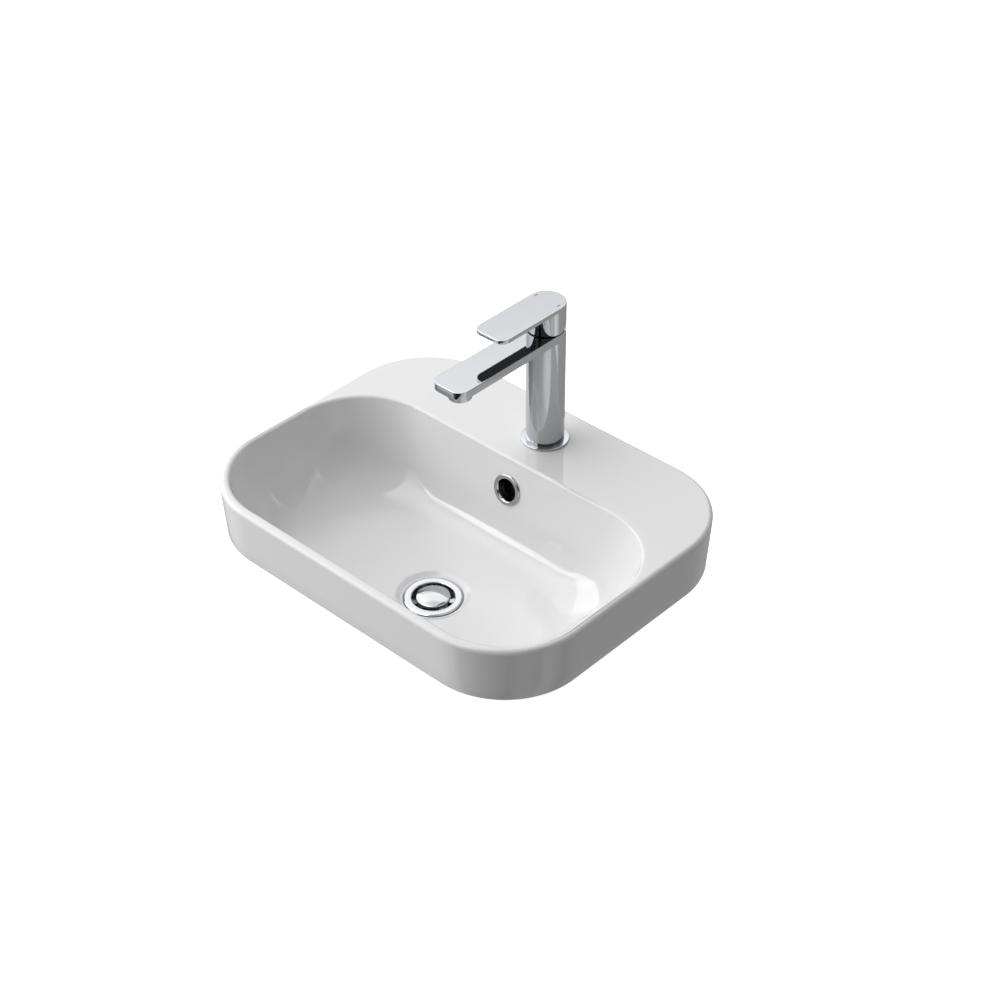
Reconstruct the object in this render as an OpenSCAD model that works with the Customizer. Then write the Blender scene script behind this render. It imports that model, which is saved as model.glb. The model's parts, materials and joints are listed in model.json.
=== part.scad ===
// Inset basin with a single-lever mixer tap, an overflow and a push-open waste.
// Origin: plan centre of the skirt, on the worktop. +X right, -Y front, +Z up.
// All sizes are in millimetres.

/* [Basin] */
// Width of the rim from side to side
basin_w = 500; // [460:1:560]
// Depth of the rim from front to back
basin_d = 388; // [370:1:420]
// Height of the rim above the worktop
skirt_h = 70; // [60:1:85]
// Corner radius of the rim in plan
corner_r = 102; // [90:1:115]
// How far the skirt leans in at its foot
skirt_draft = 4; // [2:0.5:6]
// Rounding of the rim's outer edge
edge_r = 5.3; // [3:0.1:6]
// Thickness of the ceramic walls
wall_t = 9; // [7:0.5:10]
// Thickness of the ledge that carries the tap
ledge_t = 12; // [9:0.5:16]
// Width of the flat foot that stands on the worktop
foot_w = 8; // [6:0.5:9]

/* [Bowl] */
// Width of the rim beside the bowl
side_rim = 9; // [8:0.5:14]
// Width of the rim in front of the bowl
front_rim = 11; // [9:0.5:16]
// Depth of the ledge behind the bowl
ledge_d = 114; // [110:1:122]
// Corner radius of the bowl's mouth
bowl_corner_r = 94; // [90:1:100]
// Rounding of the bowl's lip
lip_r = 4; // [2.5:0.5:5]
// Lean of the bowl's walls, in degrees from upright
wall_lean = 11.5; // [8:0.5:15]
// Depth of the bowl from the rim to the top of the waste
bowl_depth = 121; // [110:1:140]
// Radius of the curve between walls and floor
floor_r = 45; // [35:1:50]
end_r = 106; // [80:1:112]
// Fall of the floor towards the waste
floor_fall = 10; // [7:0.5:14]
// Distance from the front edge to the centre of the waste
waste_front = 143; // [135:1:150]

/* [Overflow] */
// Depth of the overflow's centre below the rim
overflow_depth = 39.6; // [34:0.2:46]
// Bore of the overflow ring
overflow_bore_d = 26; // [20:0.5:27]
// Outside diameter of the overflow ring
overflow_ring_d = 38.4; // [36:0.2:44]
// How far the overflow ring stands off the wall
overflow_proud = 2.4; // [1.5:0.1:4]
// Depth of the overflow duct behind the bowl
duct_gap = 10; // [7:0.5:12]

/* [Tap] */
// Distance from the basin's back edge to the tap's axis
tap_back = 58.4; // [54:0.2:62]
// Diameter of the tap's column
column_d = 44.4; // [43:0.2:48]
// Height of the top of the spout above the ledge
spout_h = 148.3; // [120:0.5:190]
// Reach of the spout from the tap's axis to its tip
spout_reach = 160; // [130:1:185]
// Thickness of the spout
spout_t = 10; // [9:0.5:14]
// Corner radius of the spout's tip in plan
spout_tip_r = 12; // [6:0.5:18]
// Diameter of the base ring
base_ring_d = 56; // [54:0.5:64]
// Thickness of the base ring
base_ring_t = 2.5; // [2.2:0.1:5]
// Diameter of the hole in the ledge for the tap
tap_hole_d = 35; // [34.5:0.5:38]
// Diameter of the aerator's housing
aerator_d = 26.4; // [25:0.2:30]
// How far the aerator hangs below the spout
aerator_h = 12.4; // [8:0.2:16]
// Distance from the spout's tip to the aerator's centre
aerator_back = 23; // [20:0.5:30]

/* [Lever] */
// Height of the lever's top above the spout
lever_rise = 34; // [30:0.5:42]
// Thickness of the lever's plate
lever_t = 4.8; // [4:0.1:8]
// Reach of the lever from the tap's axis to its tip
lever_reach = 94; // [70:1:120]
// Corner radius of the lever's tip in plan
lever_tip_r = 11; // [5:0.5:18]
// Gap between the lever's hub and the spout
seam = 1.2; // [1.1:0.1:2]
// Highest lift of the lever, in degrees
lift_max = 20; // [14:1:20]

/* [Cartridge] */
// Outside diameter of the cartridge
cartridge_d = 34.4; // [33:0.2:35]
// Depth of the lever's pivot below the top of the spout
pivot_depth = 12; // [11.5:0.1:12.5]
// Length of the spindle's arm below its pivot
ball_arm = 11; // [10.5:0.1:11.5]

/* [Waste] */
// Diameter of the waste's flange
flange_d = 67.6; // [64:0.2:72]
// Bore of the waste's cup around the plug
cup_d = 49; // [46:0.2:52]
// Bore of the waste's tube
tube_bore_d = 36; // [33:0.2:37]
// Outside diameter of the waste's threaded tube
tube_d = 41.9; // [41:0.1:43]
// Length of the waste from its flange to its end
waste_len = 78; // [70:1:100]
// Diameter of the plug's cap
plug_d = 39; // [37:0.2:42]
// Rise of the dome on the plug's cap
plug_rise = 3.2; // [1.5:0.1:5]
// How far the plug travels down to close
plug_travel = 6; // [4:0.1:6]

/* [Fixings] */
// Diameter of the stud that holds the tap down
stud_d = 8; // [6:0.5:10]
// Length of the stud below the tap
stud_len = 50; // [42:1:70]
// Diameter of the threaded water inlets
inlet_d = 10; // [8:0.5:11]
// Depth of the threaded water inlets
inlet_len = 14; // [10:0.5:20]

/* [Hidden] */

// Smoothness of true circles, and of the basin's faceted surfaces
$fn = 96;
plan_steps = 112;
edge_steps = 3;
curve_steps = 6;
wall_steps = 4;
under_steps = 4;

// Clearances: a screwed or pressed fit, a running gap, and the small overlap that joins two volumes
fit = 0.05;
run = 0.3;
lap = 0.5;

// Places worked out from the driving sizes
bowl_hw = basin_w / 2 - side_rim;
bowl_front = -basin_d / 2 + front_rim;
bowl_back = basin_d / 2 - ledge_d;
waste_y = -basin_d / 2 + waste_front;
waste_z = skirt_h - bowl_depth;
tap_y = basin_d / 2 - tap_back;
spout_z = skirt_h + spout_h;
column_r = column_d / 2;
overflow_z = skirt_h - overflow_depth;
overflow_y = bowl_back - tan(wall_lean) * overflow_depth;

// Foot and skirt
foot_h = 2;
foot_inset = skirt_draft + 0.4;
skirt_t = skirt_draft + foot_w + 2;

// Floor: the ceramic round the waste lies a little below the flange, in a soft dimple
flange_proud = 1.8;
flange_r = flange_d / 2;
seat_depth = bowl_depth + flange_proud;
dimple_w = 11;
dimple_r = flange_r + dimple_w;
dimple_drop = 4;
floor_edge_depth = bowl_depth - floor_fall;
floor_end_angle = 78;
corner_shrink = 0.4;
centre_hole_r = tube_d / 2 - 2;

// Waste: levels are below the top of the flange
flange_t = 2.6;
top_seal_t = 1.4;
cup_wall = 3;
cup_straight = 5.2;
cup_r = cup_d / 2;
tube_bore_r = tube_bore_d / 2;
tube_r = tube_d / 2;
cup_cone = cup_r - tube_bore_r;
cup_bottom = cup_straight + cup_cone;
waste_hole_r = tube_r + 2.05;
duct_skin = 0.4;
duct_wall = 6;
duct_step = 0.4;
duct_inner_w = 36;
duct_outer_w = duct_inner_w + 2 * duct_wall;
duct_top = overflow_depth - overflow_bore_d / 2 - 5;
window_top = flange_proud + wall_t + duct_skin + 1.8;
window_bottom = flange_proud + wall_t + duct_skin + duct_gap - 0.7;
window_w = 18;
boss_bottom = flange_proud + wall_t + duct_skin + duct_gap + duct_wall;
boss_w = 15;
boss_r = waste_hole_r + boss_w;
lower_seal_t = 6;
washer_t = 2;
backnut_t = 10;
ring_bore_r = tube_r + run;
ring_r = boss_r - 6;
spider_top = 26;
spider_t = 4;
spider_w = 5;
spider_boss_r = 6.5;
relief_gap = 6;
relief_len = 2;
relief_r = tube_r - 1;

// Plug: levels are below the top of the flange
cap_t = 2.2;
plug_seal_t = 1.8;
plug_seal_r = plug_d / 2 - 0.3;
core_r = 6;
core_bore_r = 4.6;
core_root_r = 3.1;
core_top = 9.5;
core_floor = 2;
sleeve_bore_r = core_r + run + 0.1;
sleeve_r = sleeve_bore_r + 1.6;
sleeve_bottom = spider_top - plug_travel - 0.5;
spring_turns = 8;
spring_wire_r = 0.5;
spring_r = core_bore_r - spring_wire_r - 0.5;
spring_steps = 10;
spring_sides = 6;
core_nut_t = 3;
core_nut_d = 12;

// Overflow ring
overflow_bore_r = overflow_bore_d / 2;
overflow_tube_r = overflow_bore_r + 1.5;
overflow_hole_r = overflow_tube_r + fit + 0.4;
overflow_tube_len = wall_t;

// Tap body: heights are above or below the top of the spout
chamber_r = cartridge_d / 2 + 0.6;
chamber_depth = 37;
spout_roof = 2.5;
spout_floor = 2;
waterway_w = 30;
waterway_h = spout_t - spout_roof - spout_floor;
spigot_r = tap_hole_d / 2 - 0.9;
spigot_len = 8;
column_bottom = -(spout_h - base_ring_t);
inlet_x = 7;
inlet_y = -6;
channel_r = 3.2;
stud_y = 10;
stud_grip = 12;
groove_w = 16;
groove_wall = 2;
groove_lift = 8;
stud_r = stud_d / 2;

// Base ring and its seal
base_ring_r = base_ring_d / 2;
base_seal_t = 1.2;
base_seal_in = tap_hole_d / 2 + 2.8;
base_seal_out = base_ring_r - 2.3;

// Under the ledge
gasket_r = tap_hole_d / 2 + 6.5;
gasket_t = 3;
plate_t = 2.5;
slot_w = 25;
slot_y = 1;
nut_w = stud_d + 7;
nut_t = 18;

// Cartridge: levels are below the top of the spout
cart_r = cartridge_d / 2;
disc_r = cart_r - 1.6 - 0.4;
cart_bore_r = cart_r - 1.6;
base_plate_t = 4;
disc_t = 3;
fixed_disc_top = chamber_depth - base_plate_t - disc_t;
moving_disc_top = fixed_disc_top - disc_t;
slide_r = 10.8;
ball_depth = pivot_depth + ball_arm;
ball_r = 3.6;
carrier_top = 19.2;
sleeve_foot = 18.5;
sleeve_shoulder = 12.8;
housing_shoulder = 12.5;
housing_top = 9;
outlet_w = 12;
outlet_h = 8;
neck_r = 10.8;
slot_front = 7.2;
slot_back = 8.7;
neck_top = 1;
stem_r = 4;
thin_stem_r = 2.4;
pin_r = 1.5;
pin_len = 20.6;
nut_ring_top = 2;
nut_bore_r = 12.5;

// Dome and lever: heights are above the top of the spout
dome_r = sqrt(pow(column_r - 2.6, 2) + pow(pivot_depth, 2));
dome_wall = 1.8;
dome_mouth_r = 12;
hub_bore_r = column_r - 2.2;
hub_ceiling = dome_r - pivot_depth + 1;
square_w = 8;
square_h = 11;
square_top = hub_ceiling + square_h;
grub_z = hub_ceiling + 7;
grub_r = 2;
grub_len = 10;
cap_r = 2.9;
cap_len = 2;
mark_w = 1.5;
mark_len = 5;
mark_t = 0.6;
mark_x = column_r - 5.9;
mark_y = 1.4;

// Aerator
aerator_y = -(spout_reach - aerator_back);
aerator_r = aerator_d / 2;
aerator_wall = 2;
neck_wall_r = aerator_r - 1.7;
insert_r = neck_wall_r - 1.6;
insert_plate_t = 1.5;
insert_top_gap = 1;
jet_r = 0.7;
jet_pitch = 2.9;

// Outlines and rings

// Distance from the waste's centre to a rounded rectangle, in the direction th.
// The rectangle spans -hw to hw, and from y_front to y_back, with corners of radius r.
function hit(th, hw, y_front, y_back, r) =
    let(
        c = max(abs(cos(th)), 1e-6),
        s = max(abs(sin(th)), 1e-6),
        side = sin(th) > 0 ? y_back - waste_y : waste_y - y_front,
        t = min(hw / c, side / s),
        qx = hw - r,
        qy = side - r,
        b = c * qx + s * qy
    )
    (c * t > qx && s * t > qy) ? b + sqrt(b * b - qx * qx - qy * qy + r * r) : t;

// Directions in which each ring of the basin is sampled, closer together at the corners
angles = [for (k = [0 : plan_steps - 1])
    let(u = 360 * (k + 0.5) / plan_steps) atan2((bowl_back - bowl_front) / 2 * sin(u), bowl_hw * cos(u))];

function outer_hit(th, inset) =
    hit(th, basin_w / 2 - inset, -basin_d / 2 + inset, basin_d / 2 - inset, corner_r - inset);

// The bowl's two ends may be inset further than its front and back, by more
function bowl_hit(th, inset, more = 0) =
    hit(th, bowl_hw - inset - more, bowl_front + inset, bowl_back - inset, bowl_corner_r - corner_shrink * inset);

function spoke(th, rho, z) = [rho * cos(th), waste_y + rho * sin(th), z];

function outer_ring(inset, z) = [for (th = angles) spoke(th, outer_hit(th, inset), z)];

// A ring of the bowl at a point of its profile; t is 0 inside and the wall's thickness outside
function bowl_ring(p, t = 0) = [for (th = angles)
    spoke(th, bowl_hit(th, p[0], end_more(p, t)), skirt_h - p[1])];

function round_ring(r, depth) = [for (th = angles) spoke(th, r, skirt_h - depth)];

// Inset of the skirt's face at a height
function skirt_inset(z) = skirt_draft * (1 - z / (skirt_h - edge_r));

// The bowl's profile: points are [inset from the mouth, depth below the rim]
lip_end = 90 - wall_lean;
lip_inset = lip_r * (tan(wall_lean) * (1 - cos(lip_end)) - sin(lip_end));
function lip_point(a) = [lip_inset + lip_r * sin(a), lip_r * (1 - cos(a))];

curve_depth = floor_edge_depth - floor_r;
curve_wall_depth = curve_depth + floor_r * sin(wall_lean);
curve_inset = tan(wall_lean) * curve_wall_depth + floor_r * cos(wall_lean);
function curve_point(a, t) = [curve_inset - (floor_r + t) * cos(a), curve_depth + (floor_r + t) * sin(a)];

// A point on the wall, moved out through the ceramic by t
function wall_point(depth, t) = [tan(wall_lean) * depth - t / cos(wall_lean), depth];

// The two ends leave the same wall higher up, and run into the floor along a wider curve
end_curve_depth = floor_edge_depth - end_r;
end_wall_depth = end_curve_depth + end_r * sin(wall_lean);
end_curve_inset = tan(wall_lean) * end_wall_depth + end_r * cos(wall_lean);
function end_more(p, t) =
    let(rise = (p[1] - end_curve_depth) / (end_r + t))
    rise < sin(wall_lean) ? 0 : max(0, end_curve_inset - (end_r + t) * cos(asin(min(rise, 1))) - p[0]);

floor_curve_end = curve_point(floor_end_angle, 0);
dimple_depth = seat_depth - dimple_drop;
function mid_floor_ring(t) = [for (th = angles)
    spoke(th, (bowl_hit(th, floor_curve_end[0], end_more(floor_curve_end, 0)) + dimple_r) / 2,
        skirt_h - (floor_curve_end[1] + dimple_depth) / 2 - t)];

function sweep_angle(k, n) = wall_lean + (floor_end_angle - wall_lean) * k / n;

// Under a tall skirt the straight part of the bowl's outside ends above the foot's level
under_wall = curve_depth + (floor_r + wall_t) * sin(wall_lean) - skirt_h + foot_h;
under_angle = under_wall > 1 ? wall_lean : asin((skirt_h - foot_h - curve_depth) / (floor_r + wall_t));

basin_rings = concat(
    [outer_ring(skirt_inset(foot_h), foot_h)],
    [for (k = [0 : edge_steps])
        let(a = 90 * k / edge_steps)
        outer_ring(skirt_inset(skirt_h - edge_r) + edge_r * (1 - cos(a)), skirt_h - edge_r * (1 - sin(a)))],
    [for (k = [0 : edge_steps]) bowl_ring(lip_point(lip_end * k / edge_steps))],
    [for (k = [0 : wall_steps - 1])
        bowl_ring(wall_point(end_wall_depth + (curve_wall_depth - end_wall_depth) * k / wall_steps, 0))],
    [for (k = [0 : curve_steps]) bowl_ring(curve_point(sweep_angle(k, curve_steps), 0))],
    [mid_floor_ring(0)],
    [round_ring(dimple_r, dimple_depth)],
    [round_ring(flange_r + 1, seat_depth)],
    [round_ring(centre_hole_r, seat_depth)],
    [round_ring(centre_hole_r, seat_depth + wall_t)],
    [round_ring(dimple_r, dimple_depth + wall_t)],
    [mid_floor_ring(wall_t)],
    [for (k = [under_steps : -1 : 0])
        bowl_ring(curve_point(under_angle + (floor_end_angle - under_angle) * k / under_steps, wall_t), wall_t)],
    under_wall > 1 ? [bowl_ring(wall_point(skirt_h - foot_h, wall_t), wall_t)] : []
);

// Closes a list of closed rings into a tube that joins up with itself
module ring_solid(rings) {
    n = len(rings[0]);
    m = len(rings);
    polyhedron(
        points = [for (ring = rings) each ring],
        faces = [for (i = [0 : m - 1], j = [0 : n - 1])
            let(
                a = i * n + j,
                b = i * n + (j + 1) % n,
                c = (i + 1) % m * n + (j + 1) % n,
                d = (i + 1) % m * n + j
            )
            each [[a, c, b], [a, d, c]]],
        convexity = 10
    );
}

// Closes a list of sections, each with the same number of corners, into a bar with flat ends
module bar_solid(sections) {
    n = len(sections[0]);
    m = len(sections);
    polyhedron(
        points = [for (section = sections) each section],
        faces = concat(
            [for (i = [0 : m - 2], j = [0 : n - 1])
                let(
                    a = i * n + j,
                    b = i * n + (j + 1) % n,
                    c = (i + 1) * n + (j + 1) % n,
                    d = (i + 1) * n + j
                )
                each [[a, b, c], [a, c, d]]],
            [for (j = [1 : n - 2]) [0, j + 1, j]],
            [for (j = [1 : n - 2]) [(m - 1) * n, (m - 1) * n + j, (m - 1) * n + j + 1]]
        ),
        convexity = 6
    );
}

// A rounded rectangle in plan, with its corners true arcs
module round_plan(w, d, r) {
    square([w - 2 * r, d], center = true);
    square([w, d - 2 * r], center = true);
    for (x = [-1, 1], y = [-1, 1])
        translate([x * (w / 2 - r), y * (d / 2 - r)])
            circle(r = r);
}

// A bar in plan: round at the axis and square with round corners at its tip, towards the front
module bar_plan(reach, tip_r) {
    circle(r = column_r);
    translate([-column_r, -reach + tip_r])
        square([2 * column_r, reach - tip_r]);
    translate([-column_r + tip_r, -reach])
        square([2 * (column_r - tip_r), reach]);
    for (x = [-1, 1])
        translate([x * (column_r - tip_r), -reach + tip_r])
            circle(r = tip_r);
}

// A flat ring between two radii, from z up by h
module ring(r_out, r_in, z, h) {
    translate([0, 0, z])
        difference() {
            cylinder(r = r_out, h = h);
            translate([0, 0, -lap])
                cylinder(r = r_in, h = h + 2 * lap);
        }
}

module at_waste() {
    translate([0, waste_y, waste_z])
        children();
}

module at_spout_top() {
    translate([0, tap_y, spout_z])
        children();
}

module at_ledge() {
    translate([0, tap_y, skirt_h])
        children();
}

// The overflow's frame: +Z points out of the back wall, into the bowl
module at_overflow() {
    translate([0, overflow_y, overflow_z])
        rotate([90 - wall_lean, 0, 0])
            children();
}

// Basin

// The hollow under the ledge, between the bowl's back wall and the skirt
module ledge_hollow() {
    first = 27;
    last = 180 - first;
    steps = 36;
    top = skirt_h - ledge_t;
    bar_solid([for (k = [0 : steps])
        let(
            th = first + (last - first) * k / steps,
            low_in = bowl_hit(th, wall_point(skirt_h + lap, wall_t + run)[0]),
            high_in = bowl_hit(th, wall_point(ledge_t, wall_t + run)[0]),
            out = outer_hit(th, skirt_t)
        )
        [
            spoke(th, low_in, -lap),
            spoke(th, out, -lap),
            spoke(th, out, top),
            spoke(th, high_in, top)
        ]]);
}

// The duct's side view behind the bowl: a line at a distance t out through the ceramic
function duct_line(t, top, end_r) = concat(
    [wall_point(top, t)],
    [for (k = [0 : under_steps]) curve_point(sweep_angle(k, under_steps), t)],
    [[bowl_back - waste_y - dimple_r, dimple_depth + t]],
    [[bowl_back - waste_y - end_r, seat_depth + t]]
);

module duct(t_in, t_out, w, top, end_r) {
    near = duct_line(t_in, top, end_r);
    far = duct_line(t_out, top, end_r);
    outline = concat(near, [for (k = [len(far) - 1 : -1 : 0]) far[k]]);
    rotate([90, 0, 90])
        linear_extrude(height = w, center = true)
            polygon([for (p = outline) [bowl_back - p[0], skirt_h - p[1]]]);
}

module foot() {
    linear_extrude(height = foot_h + 2)
        difference() {
            round_plan(basin_w - 2 * foot_inset, basin_d - 2 * foot_inset, corner_r - foot_inset);
            round_plan(basin_w - 2 * (foot_inset + foot_w), basin_d - 2 * (foot_inset + foot_w),
                corner_r - foot_inset - foot_w);
        }
}

module basin() {
    color("white")
        difference() {
            union() {
                difference() {
                    union() {
                        ring_solid(basin_rings);
                        foot();
                    }
                    ledge_hollow();
                }
                duct(wall_t - 2, wall_t + duct_skin + duct_gap + duct_wall - duct_step, duct_outer_w,
                    duct_top - duct_wall, waste_hole_r + 4);
                at_waste()
                    translate([0, 0, -boss_bottom])
                        cylinder(r = boss_r, h = boss_bottom - flange_proud - wall_t / 2);
            }
            duct(wall_t + duct_skin, wall_t + duct_skin + duct_gap, duct_inner_w, duct_top, waste_hole_r - 4);
            at_waste()
                // Recess for the flange, countersink for the cup and hole for the tube
                rotate_extrude()
                    polygon([
                        [0, lap],
                        [flange_r + 0.6, lap],
                        [flange_r + 0.6, -flange_t - top_seal_t],
                        [cup_r + cup_wall + 2, -flange_t - top_seal_t],
                        [cup_r + cup_wall + 2, -cup_straight - 0.8],
                        [waste_hole_r, -cup_bottom - 1.5],
                        [waste_hole_r, -boss_bottom - lap],
                        [0, -boss_bottom - lap]
                    ]);
            at_ledge()
                translate([0, 0, -ledge_t - lap])
                    cylinder(r = tap_hole_d / 2, h = ledge_t + 2 * lap);
            at_overflow()
                translate([0, 0, -wall_t - duct_skin - 3])
                    cylinder(r = overflow_hole_r, h = wall_t + duct_skin + 6);
        }
}

module overflow_ring() {
    color("silver")
        at_overflow()
            difference() {
                union() {
                    rotate_extrude()
                        polygon([
                            [overflow_bore_r - 1, run],
                            [overflow_ring_d / 2 - 0.4, run],
                            [overflow_ring_d / 2, run + 0.5],
                            [overflow_ring_d / 2 - 0.6, overflow_proud - 0.7],
                            [overflow_ring_d / 2 - 1.8, overflow_proud],
                            [overflow_bore_r + 1.4, overflow_proud],
                            [overflow_bore_r - 1, overflow_proud - 1.6]
                        ]);
                    translate([0, 0, -overflow_tube_len])
                        cylinder(r = overflow_tube_r, h = overflow_tube_len + run + lap);
                }
                translate([0, 0, -overflow_tube_len - lap])
                    cylinder(r = overflow_bore_r, h = overflow_tube_len + overflow_proud + 2 * lap);
            }
}

// Tap body and what stands on the ledge

module tap_body() {
    color("silver")
        at_spout_top()
            difference() {
                union() {
                    translate([0, 0, column_bottom])
                        cylinder(r = column_r, h = -column_bottom);
                    translate([0, 0, -spout_t])
                        linear_extrude(height = spout_t)
                            bar_plan(spout_reach, spout_tip_r);
                    translate([0, 0, -spout_h - spigot_len])
                        cylinder(r = spigot_r, h = spigot_len + base_ring_t + lap);
                }
                translate([0, 0, -chamber_depth])
                    cylinder(r = chamber_r, h = chamber_depth + lap);
                // Waterway in the spout, and the groove that feeds it from the chamber
                translate([-waterway_w / 2, aerator_y - aerator_r + 1, -spout_t + spout_floor])
                    cube([waterway_w, -aerator_y + aerator_r - chamber_r, waterway_h]);
                translate([-groove_w / 2, -column_r + groove_wall, -chamber_depth + groove_lift])
                    cube([groove_w, column_r - groove_wall - chamber_r + 3,
                        chamber_depth - groove_lift - spout_roof]);
                translate([0, aerator_y, -spout_t - lap])
                    cylinder(r = neck_wall_r + fit, h = spout_floor + 2 * lap);
                for (x = [-1, 1])
                    translate([x * inlet_x, inlet_y, 0]) {
                        translate([0, 0, -spout_h - spigot_len - lap])
                            cylinder(r = inlet_d / 2, h = inlet_len + lap);
                        translate([0, 0, -spout_h])
                            cylinder(r = channel_r, h = spout_h - chamber_depth + lap);
                    }
                translate([0, stud_y, -spout_h - spigot_len - lap])
                    cylinder(r = stud_r + fit, h = stud_grip + lap);
            }
}

module base_ring() {
    color("silver")
        at_ledge()
            difference() {
                ring(base_ring_r, spigot_r + run, 0, base_ring_t);
                translate([0, 0, -lap])
                    ring(base_seal_out + run, base_seal_in - run, 0, base_seal_t + lap);
            }
}

module base_seal() {
    color("dimgray")
        at_ledge()
            ring(base_seal_out, base_seal_in, 0, base_seal_t);
}

module aerator_housing() {
    color("silver")
        at_spout_top()
            translate([0, aerator_y, -spout_t])
                difference() {
                    union() {
                        translate([0, 0, -aerator_h])
                            cylinder(r = aerator_r, h = aerator_h);
                        cylinder(r = neck_wall_r, h = spout_floor + 1);
                    }
                    translate([0, 0, -aerator_h + aerator_wall])
                        cylinder(r = insert_r + fit, h = aerator_h + spout_t);
                    translate([0, 0, -aerator_h - lap])
                        cylinder(r = insert_r - 1.2, h = aerator_h);
                }
}

module aerator_insert() {
    rows = floor((insert_r - 2.4) / jet_pitch);
    color("gainsboro")
        at_spout_top()
            translate([0, aerator_y, -spout_t - aerator_h + aerator_wall])
                difference() {
                    cylinder(r = insert_r, h = aerator_h - aerator_wall);
                    translate([0, 0, insert_plate_t])
                        cylinder(r = insert_r - 1.5, h = aerator_h);
                    for (row = [0 : rows], k = [0 : max(6 * row - 1, 0)])
                        rotate([0, 0, row == 0 ? 0 : 60 * k / row])
                            translate([row * jet_pitch, 0, -lap])
                                cylinder(r = jet_r, h = insert_plate_t + 2 * lap, $fn = 16);
                }
}

module aerator_seal() {
    color("dimgray")
        at_spout_top()
            translate([0, aerator_y, -spout_t])
                ring(insert_r, insert_r - 2, 0, spout_floor + 1 - insert_top_gap + lap);
}

// Under the ledge

module horseshoe() {
    difference() {
        circle(r = gasket_r);
        translate([-slot_w / 2, -gasket_r - lap])
            square([slot_w, gasket_r + lap + slot_y]);
        translate([0, stud_y])
            circle(r = stud_r + run);
    }
}

module fixing_gasket() {
    color("dimgray")
        at_ledge()
            translate([0, 0, -ledge_t - gasket_t])
                linear_extrude(height = gasket_t)
                    horseshoe();
}

module fixing_plate() {
    color("silver")
        at_ledge()
            translate([0, 0, -ledge_t - gasket_t - plate_t])
                linear_extrude(height = plate_t)
                    horseshoe();
}

module fixing_nut() {
    color("goldenrod")
        at_ledge()
            translate([0, stud_y, -ledge_t - gasket_t - plate_t - nut_t])
                difference() {
                    cylinder(d = nut_w, h = nut_t, $fn = 6);
                    translate([0, 0, -lap])
                        cylinder(r = stud_r + fit, h = nut_t + 2 * lap);
                }
}

module fixing_stud() {
    color("silver")
        at_ledge()
            translate([0, stud_y, -spigot_len - stud_len])
                cylinder(r = stud_r, h = stud_len + stud_grip);
}

// Cartridge

module ports(r, h) {
    for (x = [-1, 1])
        translate([x * inlet_x, inlet_y, -lap])
            cylinder(r = r, h = h + 2 * lap);
}

module cartridge_base() {
    color("white")
        at_spout_top()
            translate([0, 0, -chamber_depth])
                difference() {
                    cylinder(r = cart_r, h = base_plate_t);
                    ports(channel_r, base_plate_t);
                    translate([0, 0, -base_plate_t + 1])
                        ports(channel_r + 2 + fit, base_plate_t - lap);
                }
}

module cartridge_seals() {
    color("dimgray")
        at_spout_top()
            for (x = [-1, 1])
                translate([x * inlet_x, inlet_y, 0])
                    ring(channel_r + 2, channel_r + 0.3, -chamber_depth, 1);
}

module fixed_disc() {
    color("ivory")
        at_spout_top()
            translate([0, 0, -chamber_depth + base_plate_t])
                difference() {
                    cylinder(r = disc_r, h = disc_t);
                    ports(channel_r, disc_t);
                }
}

module moving_disc() {
    color("ivory")
        at_spout_top()
            translate([0, 0, -fixed_disc_top])
                difference() {
                    cylinder(r = slide_r, h = disc_t);
                    translate([0, 5.5, -lap])
                        cylinder(r = 3, h = 1.5 + lap);
                }
}

module disc_carrier() {
    color("white")
        at_spout_top()
            difference() {
                translate([0, 0, -moving_disc_top])
                    cylinder(r = slide_r, h = moving_disc_top - carrier_top);
                translate([0, 0, -moving_disc_top - lap])
                    cylinder(r = ball_r + run + fit, h = moving_disc_top);
            }
}

module cartridge_housing() {
    color("white")
        at_spout_top()
            difference() {
                translate([0, 0, -chamber_depth + base_plate_t])
                    cylinder(r = cart_r, h = chamber_depth - base_plate_t - housing_top);
                translate([0, 0, -chamber_depth + base_plate_t - lap])
                    cylinder(r = cart_bore_r, h = chamber_depth - base_plate_t - housing_shoulder + lap);
                translate([0, 0, -chamber_depth])
                    cylinder(r = neck_r + 0.4, h = chamber_depth);
                // Outlet window towards the spout
                translate([-outlet_w / 2, -cart_r - lap, -fixed_disc_top])
                    cube([outlet_w, 4, outlet_h]);
            }
}

module turn_sleeve() {
    color("white")
        at_spout_top()
            difference() {
                union() {
                    translate([0, 0, -sleeve_foot])
                        cylinder(r = cart_bore_r - 0.4, h = sleeve_foot - sleeve_shoulder);
                    translate([0, 0, -sleeve_foot])
                        cylinder(r = neck_r, h = sleeve_foot - neck_top);
                }
                // Slot that the spindle tilts in
                translate([-stem_r - run, -slot_front, -sleeve_foot - lap])
                    cube([2 * (stem_r + run), slot_front + slot_back, sleeve_foot + 2 * lap]);
                translate([0, 0, -pivot_depth])
                    rotate([0, 90, 0])
                        cylinder(r = pin_r + fit, h = 2 * neck_r + 2, center = true);
            }
}

module pivot_pin() {
    color("silver")
        at_spout_top()
            translate([0, 0, -pivot_depth])
                rotate([0, 90, 0])
                    cylinder(r = pin_r, h = pin_len, center = true);
}

module spindle() {
    color("goldenrod")
        at_spout_top()
            difference() {
                union() {
                    translate([0, 0, -ball_depth])
                        sphere(r = ball_r);
                    translate([0, 0, -ball_depth])
                        cylinder(r = thin_stem_r, h = ball_arm);
                    translate([0, 0, -pivot_depth - 5])
                        cylinder(r = stem_r, h = pivot_depth + 5 + hub_ceiling);
                    translate([-square_w / 2, -square_w / 2, hub_ceiling])
                        cube([square_w, square_w, square_top - hub_ceiling]);
                }
                translate([0, 0, -pivot_depth])
                    rotate([0, 90, 0])
                        cylinder(r = pin_r + fit, h = 4 * stem_r, center = true);
            }
}

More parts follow.
